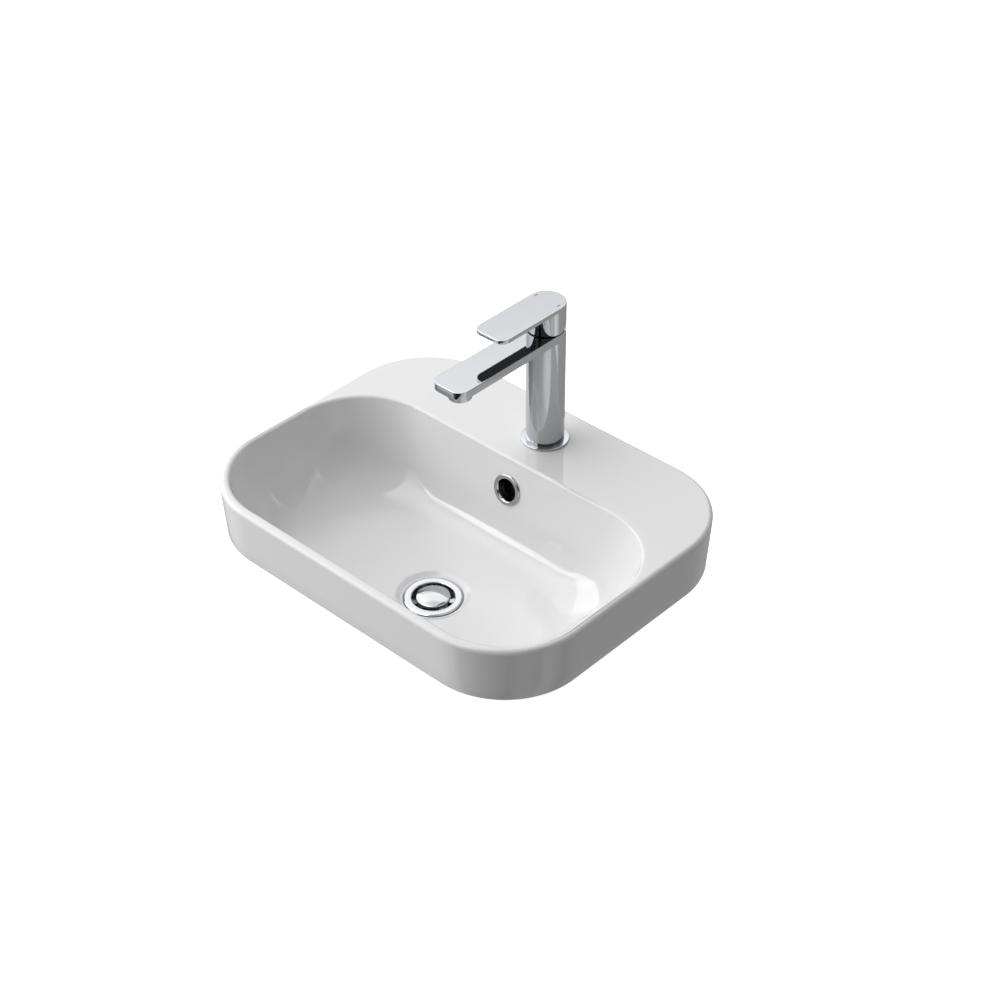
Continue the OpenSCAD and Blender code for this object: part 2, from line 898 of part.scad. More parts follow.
module retaining_nut() {
    color("goldenrod")
        at_spout_top()
            ring(chamber_r - fit, nut_bore_r, -housing_top, housing_top - nut_ring_top);
}

module dome_cap() {
    color("silver")
        at_spout_top()
            union() {
                difference() {
                    intersection() {
                        translate([0, 0, -pivot_depth])
                            sphere(r = dome_r);
                        cylinder(r = column_r, h = dome_r);
                    }
                    translate([0, 0, -pivot_depth])
                        sphere(r = dome_r - dome_wall);
                    translate([0, 0, -lap])
                        cylinder(r = dome_mouth_r, h = dome_r);
                }
                ring(chamber_r - fit, chamber_r - dome_wall, -nut_ring_top, nut_ring_top + 1);
            }
}

// Lever

module mark(side) {
    at_spout_top()
        translate([side * mark_x - mark_w / 2, mark_y - mark_len / 2, lever_rise - mark_t])
            cube([mark_w, mark_len, mark_t]);
}

module lever() {
    color("silver")
        difference() {
            at_spout_top()
                difference() {
                    union() {
                        translate([0, 0, seam])
                            cylinder(r = column_r, h = lever_rise - seam);
                        translate([0, 0, lever_rise - lever_t])
                            linear_extrude(height = lever_t)
                                bar_plan(lever_reach, lever_tip_r);
                    }
                    translate([0, 0, -lap])
                        cylinder(r = hub_bore_r, h = hub_ceiling + lap);
                    // Behind the axis the hub is cut away, so that it clears the body when it tilts
                    translate([0, 0, seam])
                        rotate([lift_max, 0, 0])
                            translate([-column_r - 1, 0, -column_r])
                                cube([2 * column_r + 2, 2 * column_r, column_r]);
                    translate([-square_w / 2 - fit, -square_w / 2 - fit, 0])
                        cube([square_w + 2 * fit, square_w + 2 * fit, square_top + fit]);
                    translate([0, 0, grub_z])
                        rotate([-90, 0, 0])
                            cylinder(r = grub_r + fit, h = column_r + 1);
                    translate([0, column_r - cap_len - 0.6, grub_z])
                        rotate([-90, 0, 0])
                            cylinder(r = cap_r + fit, h = column_r);
                }
            mark(-1);
            mark(1);
        }
}

module hot_mark() {
    color("firebrick")
        mark(-1);
}

module cold_mark() {
    color("royalblue")
        mark(1);
}

module grub_screw() {
    color("dimgray")
        at_spout_top()
            translate([0, square_w / 2, grub_z])
                rotate([-90, 0, 0])
                    difference() {
                        cylinder(r = grub_r, h = grub_len);
                        translate([0, 0, grub_len - 2.5])
                            cylinder(d = 2.8, h = 3, $fn = 6);
                    }
}

module screw_cap() {
    color("silver")
        at_spout_top()
            translate([0, column_r - cap_len - 0.6, grub_z])
                rotate([-90, 0, 0])
                    cylinder(r = cap_r, h = cap_len);
}

// Waste

module waste_body() {
    // Groove below the nut, where the outlet's own thread begins
    relief_high = boss_bottom + lower_seal_t + washer_t + backnut_t + relief_gap;
    relief_low = relief_high + relief_len;
    color("silver")
        at_waste()
            difference() {
                union() {
                    rotate_extrude()
                        polygon([
                            [tube_bore_r, -waste_len],
                            [tube_r, -waste_len],
                            [tube_r, -relief_low],
                            [relief_r, -relief_low],
                            [relief_r, -relief_high],
                            [tube_r, -relief_high],
                            [tube_r, -cup_bottom - 1],
                            [cup_r + cup_wall, -cup_straight],
                            [cup_r + cup_wall, -flange_t],
                            [flange_r, -flange_t],
                            [flange_r, -1],
                            [flange_r - 1, -0.1],
                            [flange_r - 2.5, 0],
                            [cup_r + 1.2, -0.2],
                            [cup_r, -1],
                            [cup_r, -cup_straight],
                            [tube_bore_r, -cup_bottom]
                        ]);
                    // Bar across the tube that carries the plug's click post
                    translate([-tube_bore_r - 1, -spider_w / 2, -spider_top - spider_t])
                        cube([2 * tube_bore_r + 2, spider_w, spider_t]);
                    translate([0, 0, -spider_top - spider_t])
                        cylinder(r = spider_boss_r, h = spider_t);
                }
                translate([0, 0, -spider_top - spider_t - lap])
                    cylinder(r = core_root_r + fit, h = spider_t + 2 * lap);
                // Windows that let the overflow's water in
                translate([-window_w / 2, -tube_r - 1, -window_bottom])
                    cube([window_w, 2 * tube_r + 2, window_bottom - window_top]);
            }
}

module waste_top_seal() {
    color("dimgray")
        at_waste()
            ring(flange_r - 0.4, cup_r + cup_wall + 2.2, -flange_t - top_seal_t, top_seal_t);
}

module waste_lower_seal() {
    color("dimgray")
        at_waste()
            ring(ring_r, ring_bore_r, -boss_bottom - lower_seal_t, lower_seal_t);
}

module waste_washer() {
    color("white")
        at_waste()
            ring(ring_r, ring_bore_r, -boss_bottom - lower_seal_t - washer_t, washer_t);
}

module waste_backnut() {
    color("goldenrod")
        at_waste()
            translate([0, 0, -boss_bottom - lower_seal_t - washer_t - backnut_t])
                difference() {
                    cylinder(r = ring_r, h = backnut_t, $fn = 6);
                    translate([0, 0, -lap])
                        cylinder(r = tube_r + fit, h = backnut_t + 2 * lap);
                }
}

module click_core() {
    color("white")
        at_waste()
            difference() {
                union() {
                    translate([0, 0, -spider_top])
                        cylinder(r = core_r, h = spider_top - core_top);
                    translate([0, 0, -spider_top - spider_t - core_nut_t - 1])
                        cylinder(r = core_root_r, h = spider_t + core_nut_t + 1 + lap);
                }
                translate([0, 0, -spider_top + core_floor])
                    cylinder(r = core_bore_r, h = spider_top);
            }
}

module core_nut() {
    color("goldenrod")
        at_waste()
            translate([0, 0, -spider_top - spider_t - core_nut_t])
                difference() {
                    cylinder(d = core_nut_d, h = core_nut_t, $fn = 6);
                    translate([0, 0, -lap])
                        cylinder(r = core_root_r + fit, h = core_nut_t + 2 * lap);
                }
}

// A helix from the post's floor to the underside of the plug's cap
module click_spring() {
    low = -spider_top + core_floor + spring_wire_r;
    high = -cap_t - spring_wire_r;
    n = spring_turns * spring_steps;
    color("gray")
        at_waste()
            bar_solid([for (i = [0 : n])
                let(a = 360 * i / spring_steps, z = low + (high - low) * i / n)
                [for (j = [0 : spring_sides - 1])
                    let(b = 360 * j / spring_sides)
                    [
                        (spring_r + spring_wire_r * cos(b)) * cos(a),
                        (spring_r + spring_wire_r * cos(b)) * sin(a),
                        z - spring_wire_r * sin(b)
                    ]]]);
}

module plug_sleeve() {
    color("goldenrod")
        at_waste()
            ring(sleeve_r, sleeve_bore_r, -sleeve_bottom, sleeve_bottom - cap_t);
}

module plug_seal() {
    color("dimgray")
        at_waste()
            ring(plug_seal_r, plug_seal_r - 4, -cap_t - plug_seal_t, plug_seal_t);
}

module plug_cap() {
    plug_r = plug_d / 2;
    dome = (plug_r * plug_r + plug_rise * plug_rise) / (2 * plug_rise);
    color("silver")
        at_waste()
            union() {
                translate([0, 0, -cap_t])
                    cylinder(r = plug_r, h = cap_t);
                intersection() {
                    translate([0, 0, plug_rise - dome])
                        sphere(r = dome);
                    translate([0, 0, -lap])
                        cylinder(r = plug_r, h = plug_rise + lap);
                }
            }
}

basin();
overflow_ring();
tap_body();
base_ring();
base_seal();
fixing_stud();
fixing_gasket();
fixing_plate();
fixing_nut();
cartridge_base();
cartridge_seals();
cartridge_housing();
fixed_disc();
moving_disc();
disc_carrier();
turn_sleeve();
pivot_pin();
spindle();
retaining_nut();
dome_cap();
lever();
hot_mark();
cold_mark();
grub_screw();
screw_cap();
aerator_housing();
aerator_insert();
aerator_seal();
waste_body();
waste_top_seal();
waste_lower_seal();
waste_washer();
waste_backnut();
click_core();
core_nut();
click_spring();
plug_sleeve();
plug_seal();
plug_cap();
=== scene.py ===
import json
import math

import bmesh
import bpy
import numpy as np
from mathutils import Matrix, Vector


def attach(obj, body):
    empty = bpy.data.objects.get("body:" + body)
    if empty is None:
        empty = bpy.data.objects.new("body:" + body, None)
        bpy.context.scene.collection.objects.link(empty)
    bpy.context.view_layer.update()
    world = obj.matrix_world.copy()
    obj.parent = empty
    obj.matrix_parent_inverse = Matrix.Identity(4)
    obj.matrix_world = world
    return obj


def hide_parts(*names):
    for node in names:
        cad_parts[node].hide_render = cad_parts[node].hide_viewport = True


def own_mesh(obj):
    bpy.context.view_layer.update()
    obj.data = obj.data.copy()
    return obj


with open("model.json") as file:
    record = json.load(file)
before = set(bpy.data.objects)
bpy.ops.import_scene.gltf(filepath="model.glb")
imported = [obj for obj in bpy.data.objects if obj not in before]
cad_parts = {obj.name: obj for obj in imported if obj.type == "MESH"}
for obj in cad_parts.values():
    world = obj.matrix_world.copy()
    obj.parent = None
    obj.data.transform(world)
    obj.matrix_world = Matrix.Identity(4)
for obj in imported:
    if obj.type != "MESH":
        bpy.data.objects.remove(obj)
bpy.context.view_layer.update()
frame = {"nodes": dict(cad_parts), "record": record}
slots = {entry["node"]: entry["material_slot"] for entry in frame["record"]["subparts"]}

# Sizes, in millimetres as in the part's source
WIDTH = 500.0
DEPTH = 388.0
SKIRT_H = 70.0
CORNER_R = 102.0
SKIRT_DRAFT = 4.0
EDGE_R = 5.3
WALL = 9.0
LEDGE_T = 12.0
FOOT_W = 8.0
SIDE_RIM = 9.0
FRONT_RIM = 11.0
LEDGE_D = 114.0
BOWL_CORNER_R = 94.0
CORNER_SHRINK = 0.4
LIP_R = 4.0
LEAN = math.radians(11.5)
BOWL_DEPTH = 121.0
FLOOR_R = 45.0
FLOOR_FALL = 10.0
END_R = 106.0
WASTE_Y = -51.0
WASTE_Z = SKIRT_H - BOWL_DEPTH
OVERFLOW_DEPTH = 39.6
OVERFLOW_BORE = 13.0
OVERFLOW_R = 19.2
OVERFLOW_PROUD = 2.4
DUCT_W = 36.0
DUCT_NEAR = WALL + 0.4
DUCT_FAR = WALL + 10.4
TAP_Y = 135.6
TAP_HOLE_R = 17.5
COLUMN_R = 22.2
COLUMN_H = 148.3
CHAMBER_R = 17.8
CHAMBER_D = 37.0
SPOUT_Z = 218.3
SPOUT_REACH = 160.0
SPOUT_T = 10.0
TIP_R = 12.0
AERATOR_IN = 23.0
AERATOR_R = 13.2
AERATOR_H = 12.4
LEVER_REACH = 94.0
LEVER_TIP_R = 11.0
LEVER_RISE = 34.0
LEVER_T = 4.8
HUB_BORE = 20.0
HUB_CEILING = 11.98
SOCKET_HW = 4.05
SOCKET_D = 11.05
GRUB_RISE = 7.0
MARK_X = 16.3
MARK_Y = 1.4
SEAM = 1.2
LIFT = math.radians(20.0)
PIVOT = 12.0
FLANGE_R = 33.8
FLANGE_T = 2.6
CUP_R = 24.5
TUBE_R = 20.95
TUBE_BORE = 18.0
TUBE_END = 78.0
THREAD_PITCH = 2.309
THREAD_D = 1.1
UNDER_WASTE = 27.2
RING_R = 32.0
PLUG_R = 19.5
PLUG_RISE = 3.2

BOWL_HW = WIDTH / 2 - SIDE_RIM
BOWL_FRONT = -DEPTH / 2 + FRONT_RIM
BOWL_BACK = DEPTH / 2 - LEDGE_D


# Meshes

SHARP = math.radians(35)


def add_object(name, data):
    """A new object in the scene, at the origin."""
    thing = bpy.data.objects.new(name, data)
    bpy.context.scene.collection.objects.link(thing)
    return thing


def new_mesh(name, points, faces):
    """A mesh from points in millimetres and lists of corner numbers."""
    mesh = bpy.data.meshes.new(name)
    mesh.from_pydata((np.asarray(points) * 0.001).tolist(), [], faces)
    return mesh


def clean(mesh, weld, drop_slivers=True, outwards=True):
    """Merges points nearer than weld, in metres, and where asked drops faces that are as thin and turns
    faces outwards."""
    work = bmesh.new()
    work.from_mesh(mesh)
    bmesh.ops.remove_doubles(work, verts=work.verts, dist=weld)
    if drop_slivers:
        bmesh.ops.dissolve_degenerate(work, edges=work.edges, dist=weld)
    if outwards:
        bmesh.ops.recalc_face_normals(work, faces=work.faces)
    work.to_mesh(mesh)
    work.free()


def shade(mesh):
    """Smooth shading, but for edges that bend by more than the sharp angle."""
    mesh.polygons.foreach_set("use_smooth", np.ones(len(mesh.polygons), dtype=bool))
    mesh.set_sharp_from_angle(angle=SHARP)


def make_piece(name, points, faces, body, node):
    """One object from points in millimetres and lists of corner numbers, finished and placed."""
    return finish_piece(name, new_mesh(name, points, faces), body, node)


def finish_piece(name, mesh, body, node, weld=1e-6):
    """Cleans and shades a mesh, and makes it a piece that moves with a body in place of a CAD node."""
    clean(mesh, weld)
    shade(mesh)
    piece = add_object(name, mesh)
    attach(piece, body)
    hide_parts(node)
    return piece


def ring_faces(rings, count, start_cap=False, end_cap=False, loop=False):
    """Quads between neighbouring closed rings of equal count, with caps or a closed loop where asked."""
    rows = rings if loop else rings - 1
    i = np.repeat(np.arange(rows), count)
    j = np.tile(np.arange(count), rows)
    a = i * count + j
    b = i * count + (j + 1) % count
    c = (i + 1) % rings * count + (j + 1) % count
    d = (i + 1) % rings * count + j
    faces = np.stack([a, b, c, d], axis=1).tolist()
    if start_cap:
        faces.append(list(range(count))[::-1])
    if end_cap:
        faces.append(list(range((rings - 1) * count, rings * count)))
    return faces


def ring_points(rings):
    """The points of all rings as one list, ring after ring."""
    return np.concatenate([np.asarray(ring, dtype=float) for ring in rings])


def turned(profile, segments=128):
    """A closed surface of revolution: (r cos t, r sin t, z) for each (r, z) of the profile, for t from 0 to
    2 pi. A profile that doesn't end on the axis is joined up with itself."""
    profile = np.asarray(profile, dtype=float)
    t = 2 * math.pi * np.arange(segments) / segments
    points = np.stack([
        np.outer(profile[:, 0], np.cos(t)),
        np.outer(profile[:, 0], np.sin(t)),
        np.repeat(profile[:, 1:2], segments, axis=1),
    ], axis=2).reshape(-1, 3)
    solid = profile[0, 0] < 1e-6 and profile[-1, 0] < 1e-6
    return points, ring_faces(len(profile), segments, loop=not solid)


def arc(cx, cy, r, start, end, steps):
    """Points (cx + r cos a, cy + r sin a) for a between two angles in degrees."""
    a = np.radians(np.linspace(start, end, steps + 1))
    return np.stack([cx + r * np.cos(a), cy + r * np.sin(a)], axis=1)


def rounded(corners, steps=5):
    """A profile with each corner (r, z, radius) replaced by an arc that touches both of its sides."""
    path = []
    corners = [np.array(c, dtype=float) for c in corners]
    for k, corner in enumerate(corners):
        here, radius = corner[:2], corner[2]
        if radius == 0:
            path.append(here)
            continue
        before = corners[k - 1][:2] - here
        after = corners[(k + 1) % len(corners)][:2] - here
        before /= np.linalg.norm(before)
        after /= np.linalg.norm(after)
        half = math.acos(np.clip(before @ after, -1, 1)) / 2
        reach = radius / math.tan(half)
        centre = here + (before + after) / np.linalg.norm(before + after) * radius / math.sin(half)
        first, last = here + before * reach - centre, here + after * reach - centre
        turn = math.pi - 2 * half
        t = np.linspace(0, 1, steps + 1)
        path.extend(centre + (np.outer(np.sin((1 - t) * turn), first) + np.outer(np.sin(t * turn), last))
                    / math.sin(turn))
    return np.array(path)


def moved(points, shift, tilt):
    """Points turned about X by an angle in radians, then shifted."""
    c, s = math.cos(tilt), math.sin(tilt)
    turn = np.array([[1, 0, 0], [0, c, s], [0, -s, c]])
    return np.asarray(points) @ turn + np.array(shift)


def cutter(points, faces):
    """A closed shape for carve to add, take away or keep; carve removes it again."""
    mesh = new_mesh("cutter", points, faces)
    clean(mesh, 1e-6, drop_slivers=False)
    return add_object("cutter", mesh)


def cutter_at(place, shape):
    """A cutter from a shape's points and faces, shifted to a place."""
    points, faces = shape
    return cutter(np.asarray(points) + place, faces)


def carve(piece, steps):
    """Adds or takes away closed shapes in order, then keeps the result as the piece's own mesh."""
    for way, tool in steps:
        change = piece.modifiers.new("carve", "BOOLEAN")
        change.operation = way
        change.solver = "EXACT"
        change.object = tool
    graph = bpy.context.evaluated_depsgraph_get()
    mesh = bpy.data.meshes.new_from_object(piece.evaluated_get(graph))
    piece.modifiers.clear()
    for _, tool in steps:
        bpy.data.objects.remove(tool)
    old = piece.data
    piece.data = mesh
    bpy.data.meshes.remove(old)
    mesh.name = piece.name
    clean(mesh, 2e-6, outwards=False)
    shade(mesh)


def rod(r, z0, z1, x=0.0, y=0.0, segments=64):
    """A cylinder of radius r from z0 up to z1, about an upright line through (x, y)."""
    points, faces = turned([(0, z0), (r, z0), (r, z1), (0, z1)], segments)
    return points + np.array([x, y, 0]), faces


def block(lo, hi):
    """A box between two opposite corners."""
    x0, y0, z0 = lo
    x1, y1, z1 = hi
    points = [[x0, y0, z0], [x1, y0, z0], [x1, y1, z0], [x0, y1, z0],
              [x0, y0, z1], [x1, y0, z1], [x1, y1, z1], [x0, y1, z1]]
    faces = [[0, 3, 2, 1], [4, 5, 6, 7], [0, 1, 5, 4], [1, 2, 6, 5], [2, 3, 7, 6], [3, 0, 4, 7]]
    return points, faces


# Basin

# The angles of evenly spread points on an ellipse, which lie closer together at the bowl's two ends
ANGLES = 480
even = 2 * math.pi * (np.arange(ANGLES) + 0.5) / ANGLES
theta = np.arctan2((BOWL_BACK - BOWL_FRONT) / 2 * np.sin(even), BOWL_HW * np.cos(even))


def hit(angle, half_w, front, back, corner_r):
    """Distance from the waste's centre to a rounded rectangle: the nearer of its two sides along the ray,
    or the corner's circle where the ray meets that first."""
    cos = np.maximum(np.abs(np.cos(angle)), 1e-6)
    sin = np.maximum(np.abs(np.sin(angle)), 1e-6)
    half_d = np.where(np.sin(angle) > 0, back - WASTE_Y, WASTE_Y - front)
    straight = np.minimum(half_w / cos, half_d / sin)
    corner_x = half_w - corner_r
    corner_y = half_d - corner_r
    along = cos * corner_x + sin * corner_y
    inside = along * along - corner_x * corner_x - corner_y * corner_y + corner_r * corner_r
    root = np.sqrt(np.maximum(inside, 0))
    return np.where((cos * straight > corner_x) & (sin * straight > corner_y), along + root, straight)


def spoke(radius, z, angle=theta):
    """A ring at a height: (radius cos angle, radius sin angle) from the waste's centre."""
    x = radius * np.cos(angle)
    y = WASTE_Y + radius * np.sin(angle)
    return np.stack([x, y, np.full(angle.shape, float(z))], axis=1)


def outer_hit(inset, angle=theta):
    """The basin's outline in plan at an inset, as distances from the waste's centre."""
    return hit(angle, WIDTH / 2 - inset, -DEPTH / 2 + inset, DEPTH / 2 - inset, CORNER_R - inset)


def bowl_hit(inset, angle=theta, more=0.0):
    """The bowl's outline at an inset; its two ends may be inset further, by more. The radius of its corners
    shrinks by a share of the inset."""
    corner_r = BOWL_CORNER_R - CORNER_SHRINK * inset
    return hit(angle, BOWL_HW - inset - more, BOWL_FRONT + inset, BOWL_BACK - inset, corner_r)


def outer_ring(inset, z):
    """A ring of the skirt, at an inset from the widest outline and a height."""
    return spoke(outer_hit(inset), z)


def bowl_ring(inset, depth, t=0.0):
    """A ring of the bowl, at an inset from its mouth and a depth below the rim, t out in the ceramic."""
    return spoke(bowl_hit(inset, more=end_more(inset, depth, t)), SKIRT_H - depth)


def skirt_inset(z):
    """The skirt's lean: nothing under the rim's edge, growing evenly to the draft at the foot."""
    return SKIRT_DRAFT * (1 - z / (SKIRT_H - EDGE_R))


lip_end = math.pi / 2 - LEAN
lip_inset = LIP_R * (math.tan(LEAN) * (1 - math.cos(lip_end)) - math.sin(lip_end))
floor_edge = BOWL_DEPTH - FLOOR_FALL
curve_depth = floor_edge - FLOOR_R
curve_inset = math.tan(LEAN) * (curve_depth + FLOOR_R * math.sin(LEAN)) + FLOOR_R * math.cos(LEAN)
seat_depth = BOWL_DEPTH + 1.8
seat_r = 29.5
boss_r = 38.0
dimple_r = FLANGE_R + 11
dimple_depth = seat_depth - 4
floor_end = math.radians(78)
end_curve_depth = floor_edge - END_R
end_curve_inset = math.tan(LEAN) * (end_curve_depth + END_R * math.sin(LEAN)) + END_R * math.cos(LEAN)


def end_more(inset, depth, t):
    """How much further in the bowl's ends lie than its front and back: they follow an arc of radius END_R
    that touches the same wall and the same floor level. t is the distance out through the ceramic."""
    rise = (depth - end_curve_depth) / (END_R + t)
    if rise < math.sin(LEAN):
        return 0.0
    return max(0.0, end_curve_inset - (END_R + t) * math.cos(math.asin(min(rise, 1))) - inset)


def lip_point(a):
    """The lip's quarter round as (inset, depth): an arc of radius LIP_R from the flat rim at a = 0."""
    return lip_inset + LIP_R * math.sin(a), LIP_R * (1 - math.cos(a))


def curve_point(a, t=0.0):
    """The curve from wall to floor as (inset, depth): an arc of radius FLOOR_R + t, t out in the ceramic."""
    return curve_inset - (FLOOR_R + t) * math.cos(a), curve_depth + (FLOOR_R + t) * math.sin(a)


def wall_point(depth, t):
    """The leaning wall as (inset, depth), t out in the ceramic."""
    return math.tan(LEAN) * depth - t / math.cos(LEAN), depth


def floor_ring(t, below=0.0):
    """Between the floor's curve at t = 0 and the dimple's circle at t = 1, in plan and in depth."""
    inset, depth = curve_point(floor_end)
    radius = bowl_hit(inset, more=end_more(inset, depth, 0.0)) * (1 - t) + dimple_r * t
    return spoke(radius, SKIRT_H - depth * (1 - t) - dimple_depth * t - below)


def dimple_ring(t):
    """From the dimple's circle at t = 0 to the flange's seat at t = 1, along a smooth step."""
    step = t * t * (3 - 2 * t)
    radius = dimple_r + (FLANGE_R + 1.2 - dimple_r) * t
    return spoke(radius, SKIRT_H - dimple_depth - (seat_depth - dimple_depth) * step)


def basin_rings():
    """Rings round the waste's axis, from the foot up the skirt, over the rim, down the bowl, through the
    waste's hole and back along the underside."""
    foot_in = SKIRT_DRAFT + FOOT_W + 0.4
    flange_seat = WASTE_Z - 4.0
    hole_r = TUBE_R + 2.05
    under = WASTE_Z - UNDER_WASTE
    foot = [(foot_in, 2.0), (foot_in, 0.6), (foot_in - 0.6, 0.0), (SKIRT_DRAFT + 2.0, 0.0),
            (SKIRT_DRAFT + 0.9, 0.5), (SKIRT_DRAFT + 0.4, 1.4)]
    rings = [outer_ring(inset, z) for inset, z in foot]
    rings += [outer_ring(skirt_inset(3.0), 3.0)]
    rings += [outer_ring(skirt_inset(z), z) for z in (20.0, 40.0, 58.0, SKIRT_H - EDGE_R - 0.6)]
    rings += [outer_ring(EDGE_R * (1 - math.cos(a)), SKIRT_H - EDGE_R * (1 - math.sin(a)))
              for a in np.linspace(0, math.pi / 2, 13)]
    rings += [outer_ring(EDGE_R + 0.5, SKIRT_H), bowl_ring(lip_inset - 0.5, 0.0)]
    rings += [bowl_ring(*lip_point(a)) for a in np.linspace(0, lip_end, 12)]
    rings += [bowl_ring(*wall_point(d, 0.0)) for d in (5.0, 12.0, 20.0)]
    rings += [bowl_ring(*wall_point(d, 0.0)) for d in np.linspace(26.2, 72.0, 17)]
    rings += [bowl_ring(*curve_point(a)) for a in np.linspace(LEAN, floor_end, 26)]
    rings += [floor_ring(t) for t in np.linspace(0.08, 0.96, 12)]
    rings += [dimple_ring(t) for t in np.linspace(0, 1, 12)]
    steps = [(FLANGE_R + 0.6, WASTE_Z - 2.4), (FLANGE_R + 0.6, flange_seat), (seat_r, flange_seat),
             (seat_r, WASTE_Z - 6.0), (hole_r, WASTE_Z - 13.2), (hole_r, under + 0.5), (hole_r + 0.5, under),
             (boss_r - 1.2, under), (boss_r, under + 1.2), (boss_r, WASTE_Z - 12.5)]
    rings += [spoke(radius, z) for radius, z in steps]
    rings += [spoke(dimple_r, SKIRT_H - dimple_depth - WALL)]
    rings += [floor_ring(t, WALL) for t in (0.75, 0.5, 0.25)]
    rings += [bowl_ring(*curve_point(a, WALL), WALL) for a in np.linspace(floor_end, LEAN, 16)]
    rings += [bowl_ring(*wall_point(68.4, WALL), WALL)]
    return rings


def duct_outline(t, top, end_r):
    """The duct's side view, a distance t out through the ceramic, as (y, z)."""
    line = [wall_point(top, t)] + [curve_point(a, t) for a in np.linspace(LEAN, floor_end, 10)]
    line += [(BOWL_BACK - WASTE_Y - dimple_r, dimple_depth + t)]
    line += [(BOWL_BACK - WASTE_Y - end_r, seat_depth + t)]
    return [(BOWL_BACK - inset, SKIRT_H - depth) for inset, depth in line]


def duct(near, far, width, top, end_r):
    """A closed bar of even width between two such side views, one near to the bowl and one further out."""
    outline = duct_outline(near, top, end_r) + duct_outline(far, top, end_r)[::-1]
    count = len(outline)
    points = [(x, y, z) for x in (-width / 2, width / 2) for y, z in outline]
    return cutter(points, ring_faces(2, count, start_cap=True, end_cap=True))


def ledge_hollow():
    """Sections round the waste's axis, from the bowl's back wall to the skirt, joined into a closed bar."""
    angle = np.radians(np.linspace(27, 153, 90))
    gap = WALL + 0.3
    low = bowl_hit(wall_point(SKIRT_H + 0.5, gap)[0], angle)
    high = bowl_hit(wall_point(LEDGE_T, gap)[0], angle)
    out = outer_hit(SKIRT_DRAFT + FOOT_W + 2, angle)
    top = SKIRT_H - LEDGE_T
    corners = [(low, -0.5), (out, -0.5), (out, top - 3), (out - 3, top), (high + 3, top), (high, top - 3)]
    sections = np.stack([spoke(radius, z, angle) for radius, z in corners], axis=1)
    faces = ring_faces(len(angle), len(corners), start_cap=True, end_cap=True)
    return cutter(sections.reshape(-1, 3), faces)


rings = basin_rings()
faces = ring_faces(len(rings), ANGLES, loop=True)
basin = make_piece("basin_body", ring_points(rings), faces, "fixed_parts", "basin")
overflow_at = (0.0, BOWL_BACK - math.tan(LEAN) * OVERFLOW_DEPTH, SKIRT_H - OVERFLOW_DEPTH)
overflow_tilt = math.pi / 2 - LEAN
points, faces = rod(OVERFLOW_BORE + 1.95, -12.4, 3.0)
overflow_hole = cutter(moved(points, overflow_at, overflow_tilt), faces)
points, faces = rod(TAP_HOLE_R, SKIRT_H - LEDGE_T - 0.5, SKIRT_H + 0.5, y=TAP_Y, segments=96)
tap_hole = cutter(points, faces)
duct_top = OVERFLOW_DEPTH - OVERFLOW_BORE - 5
carve(basin, [
    ("DIFFERENCE", ledge_hollow()),
    ("UNION", duct(WALL - 2, DUCT_FAR + 6, DUCT_W + 12, duct_top - 6, TUBE_R + 6.05)),
    ("DIFFERENCE", duct(DUCT_NEAR, DUCT_FAR, DUCT_W, duct_top, TUBE_R - 1.95)),
    ("DIFFERENCE", tap_hole),
    ("DIFFERENCE", overflow_hole),
])


# Column, spout and lever

def bar_outline(reach, tip_r, inset=0.0):
    """Outline of a bar in plan, about its axis: half a circle behind, straight sides, and a square tip with
    round corners, each point a share of the way along."""
    w = COLUMN_R - inset
    r = max(tip_r - inset, 0.01)
    tip = -(reach - inset)
    side_y = np.linspace(0, tip + r, 26)[1:-1]
    front_x = np.linspace(-w + r, w - r, 22)[1:-1]
    return np.concatenate([
        arc(0, 0, w, 0, 180, 127),
        np.column_stack([np.full_like(side_y, -w), side_y]),
        arc(-w + r, tip + r, r, 180, 270, 24),
        np.column_stack([front_x, np.full_like(front_x, tip)]),
        arc(w - r, tip + r, r, 270, 360, 24),
        np.column_stack([np.full_like(side_y, w), side_y[::-1]]),
    ])


def at(outline, z):
    """An outline in plan as points in space, at one height or at a height for each point."""
    z = np.broadcast_to(np.asarray(z, dtype=float), (len(outline),))
    return np.column_stack([outline, z])


def front_weight(outline):
    """0 on the round back of a bar, rising to 1 over the first 6 mm of its straight sides."""
    return np.clip(-outline[:, 1] / 6.0, 0, 1)


def round_like(outline, r):
    """Circle of radius r with a point for each point of the outline: the same angle behind the axis, and
    an even spread in front of it."""
    angle = np.arctan2(outline[:, 1], outline[:, 0])
    front = outline[:, 1] < -1e-9
    angle = np.where(front, 0, angle)
    total = np.count_nonzero(front)
    angle[front] = math.pi + math.pi * (np.arange(total) + 1) / (total + 1)
    return np.stack([r * np.cos(angle), r * np.sin(angle)], axis=1)


def bar_side(reach, tip_r, top, bottom, soft_top, soft_bottom):
    """Rings of a bar's side from its underside up to its top: both edges are quarter rounds, and the lower
    one fades out behind the axis, where the bar runs into its column."""
    rings = []
    full = bar_outline(reach, tip_r)
    weight = front_weight(full)
    quarter = np.linspace(0, math.pi / 2, 7)
    for a in quarter:
        lower = bar_outline(reach, tip_r, soft_bottom * (1 - math.sin(a)))
        plan = full + (lower - full) * weight[:, None]
        rings.append(at(plan, bottom + soft_bottom * (1 - math.cos(a)) * weight))
    rings.append(at(full, (top + bottom) / 2))
    for a in quarter:
        upper = bar_outline(reach, tip_r, soft_top * (1 - math.cos(a)))
        rings.append(at(upper, top - soft_top * (1 - math.sin(a))))
    rings.append(at(bar_outline(reach, tip_r, soft_top + 0.4), top))
    return rings


tap_at = np.array([0, TAP_Y, SPOUT_Z])
aerator_y = -(SPOUT_REACH - AERATOR_IN)
spigot_r = 16.6
column_bottom = -(COLUMN_H - 2.5)
foot = -COLUMN_H - 8.0


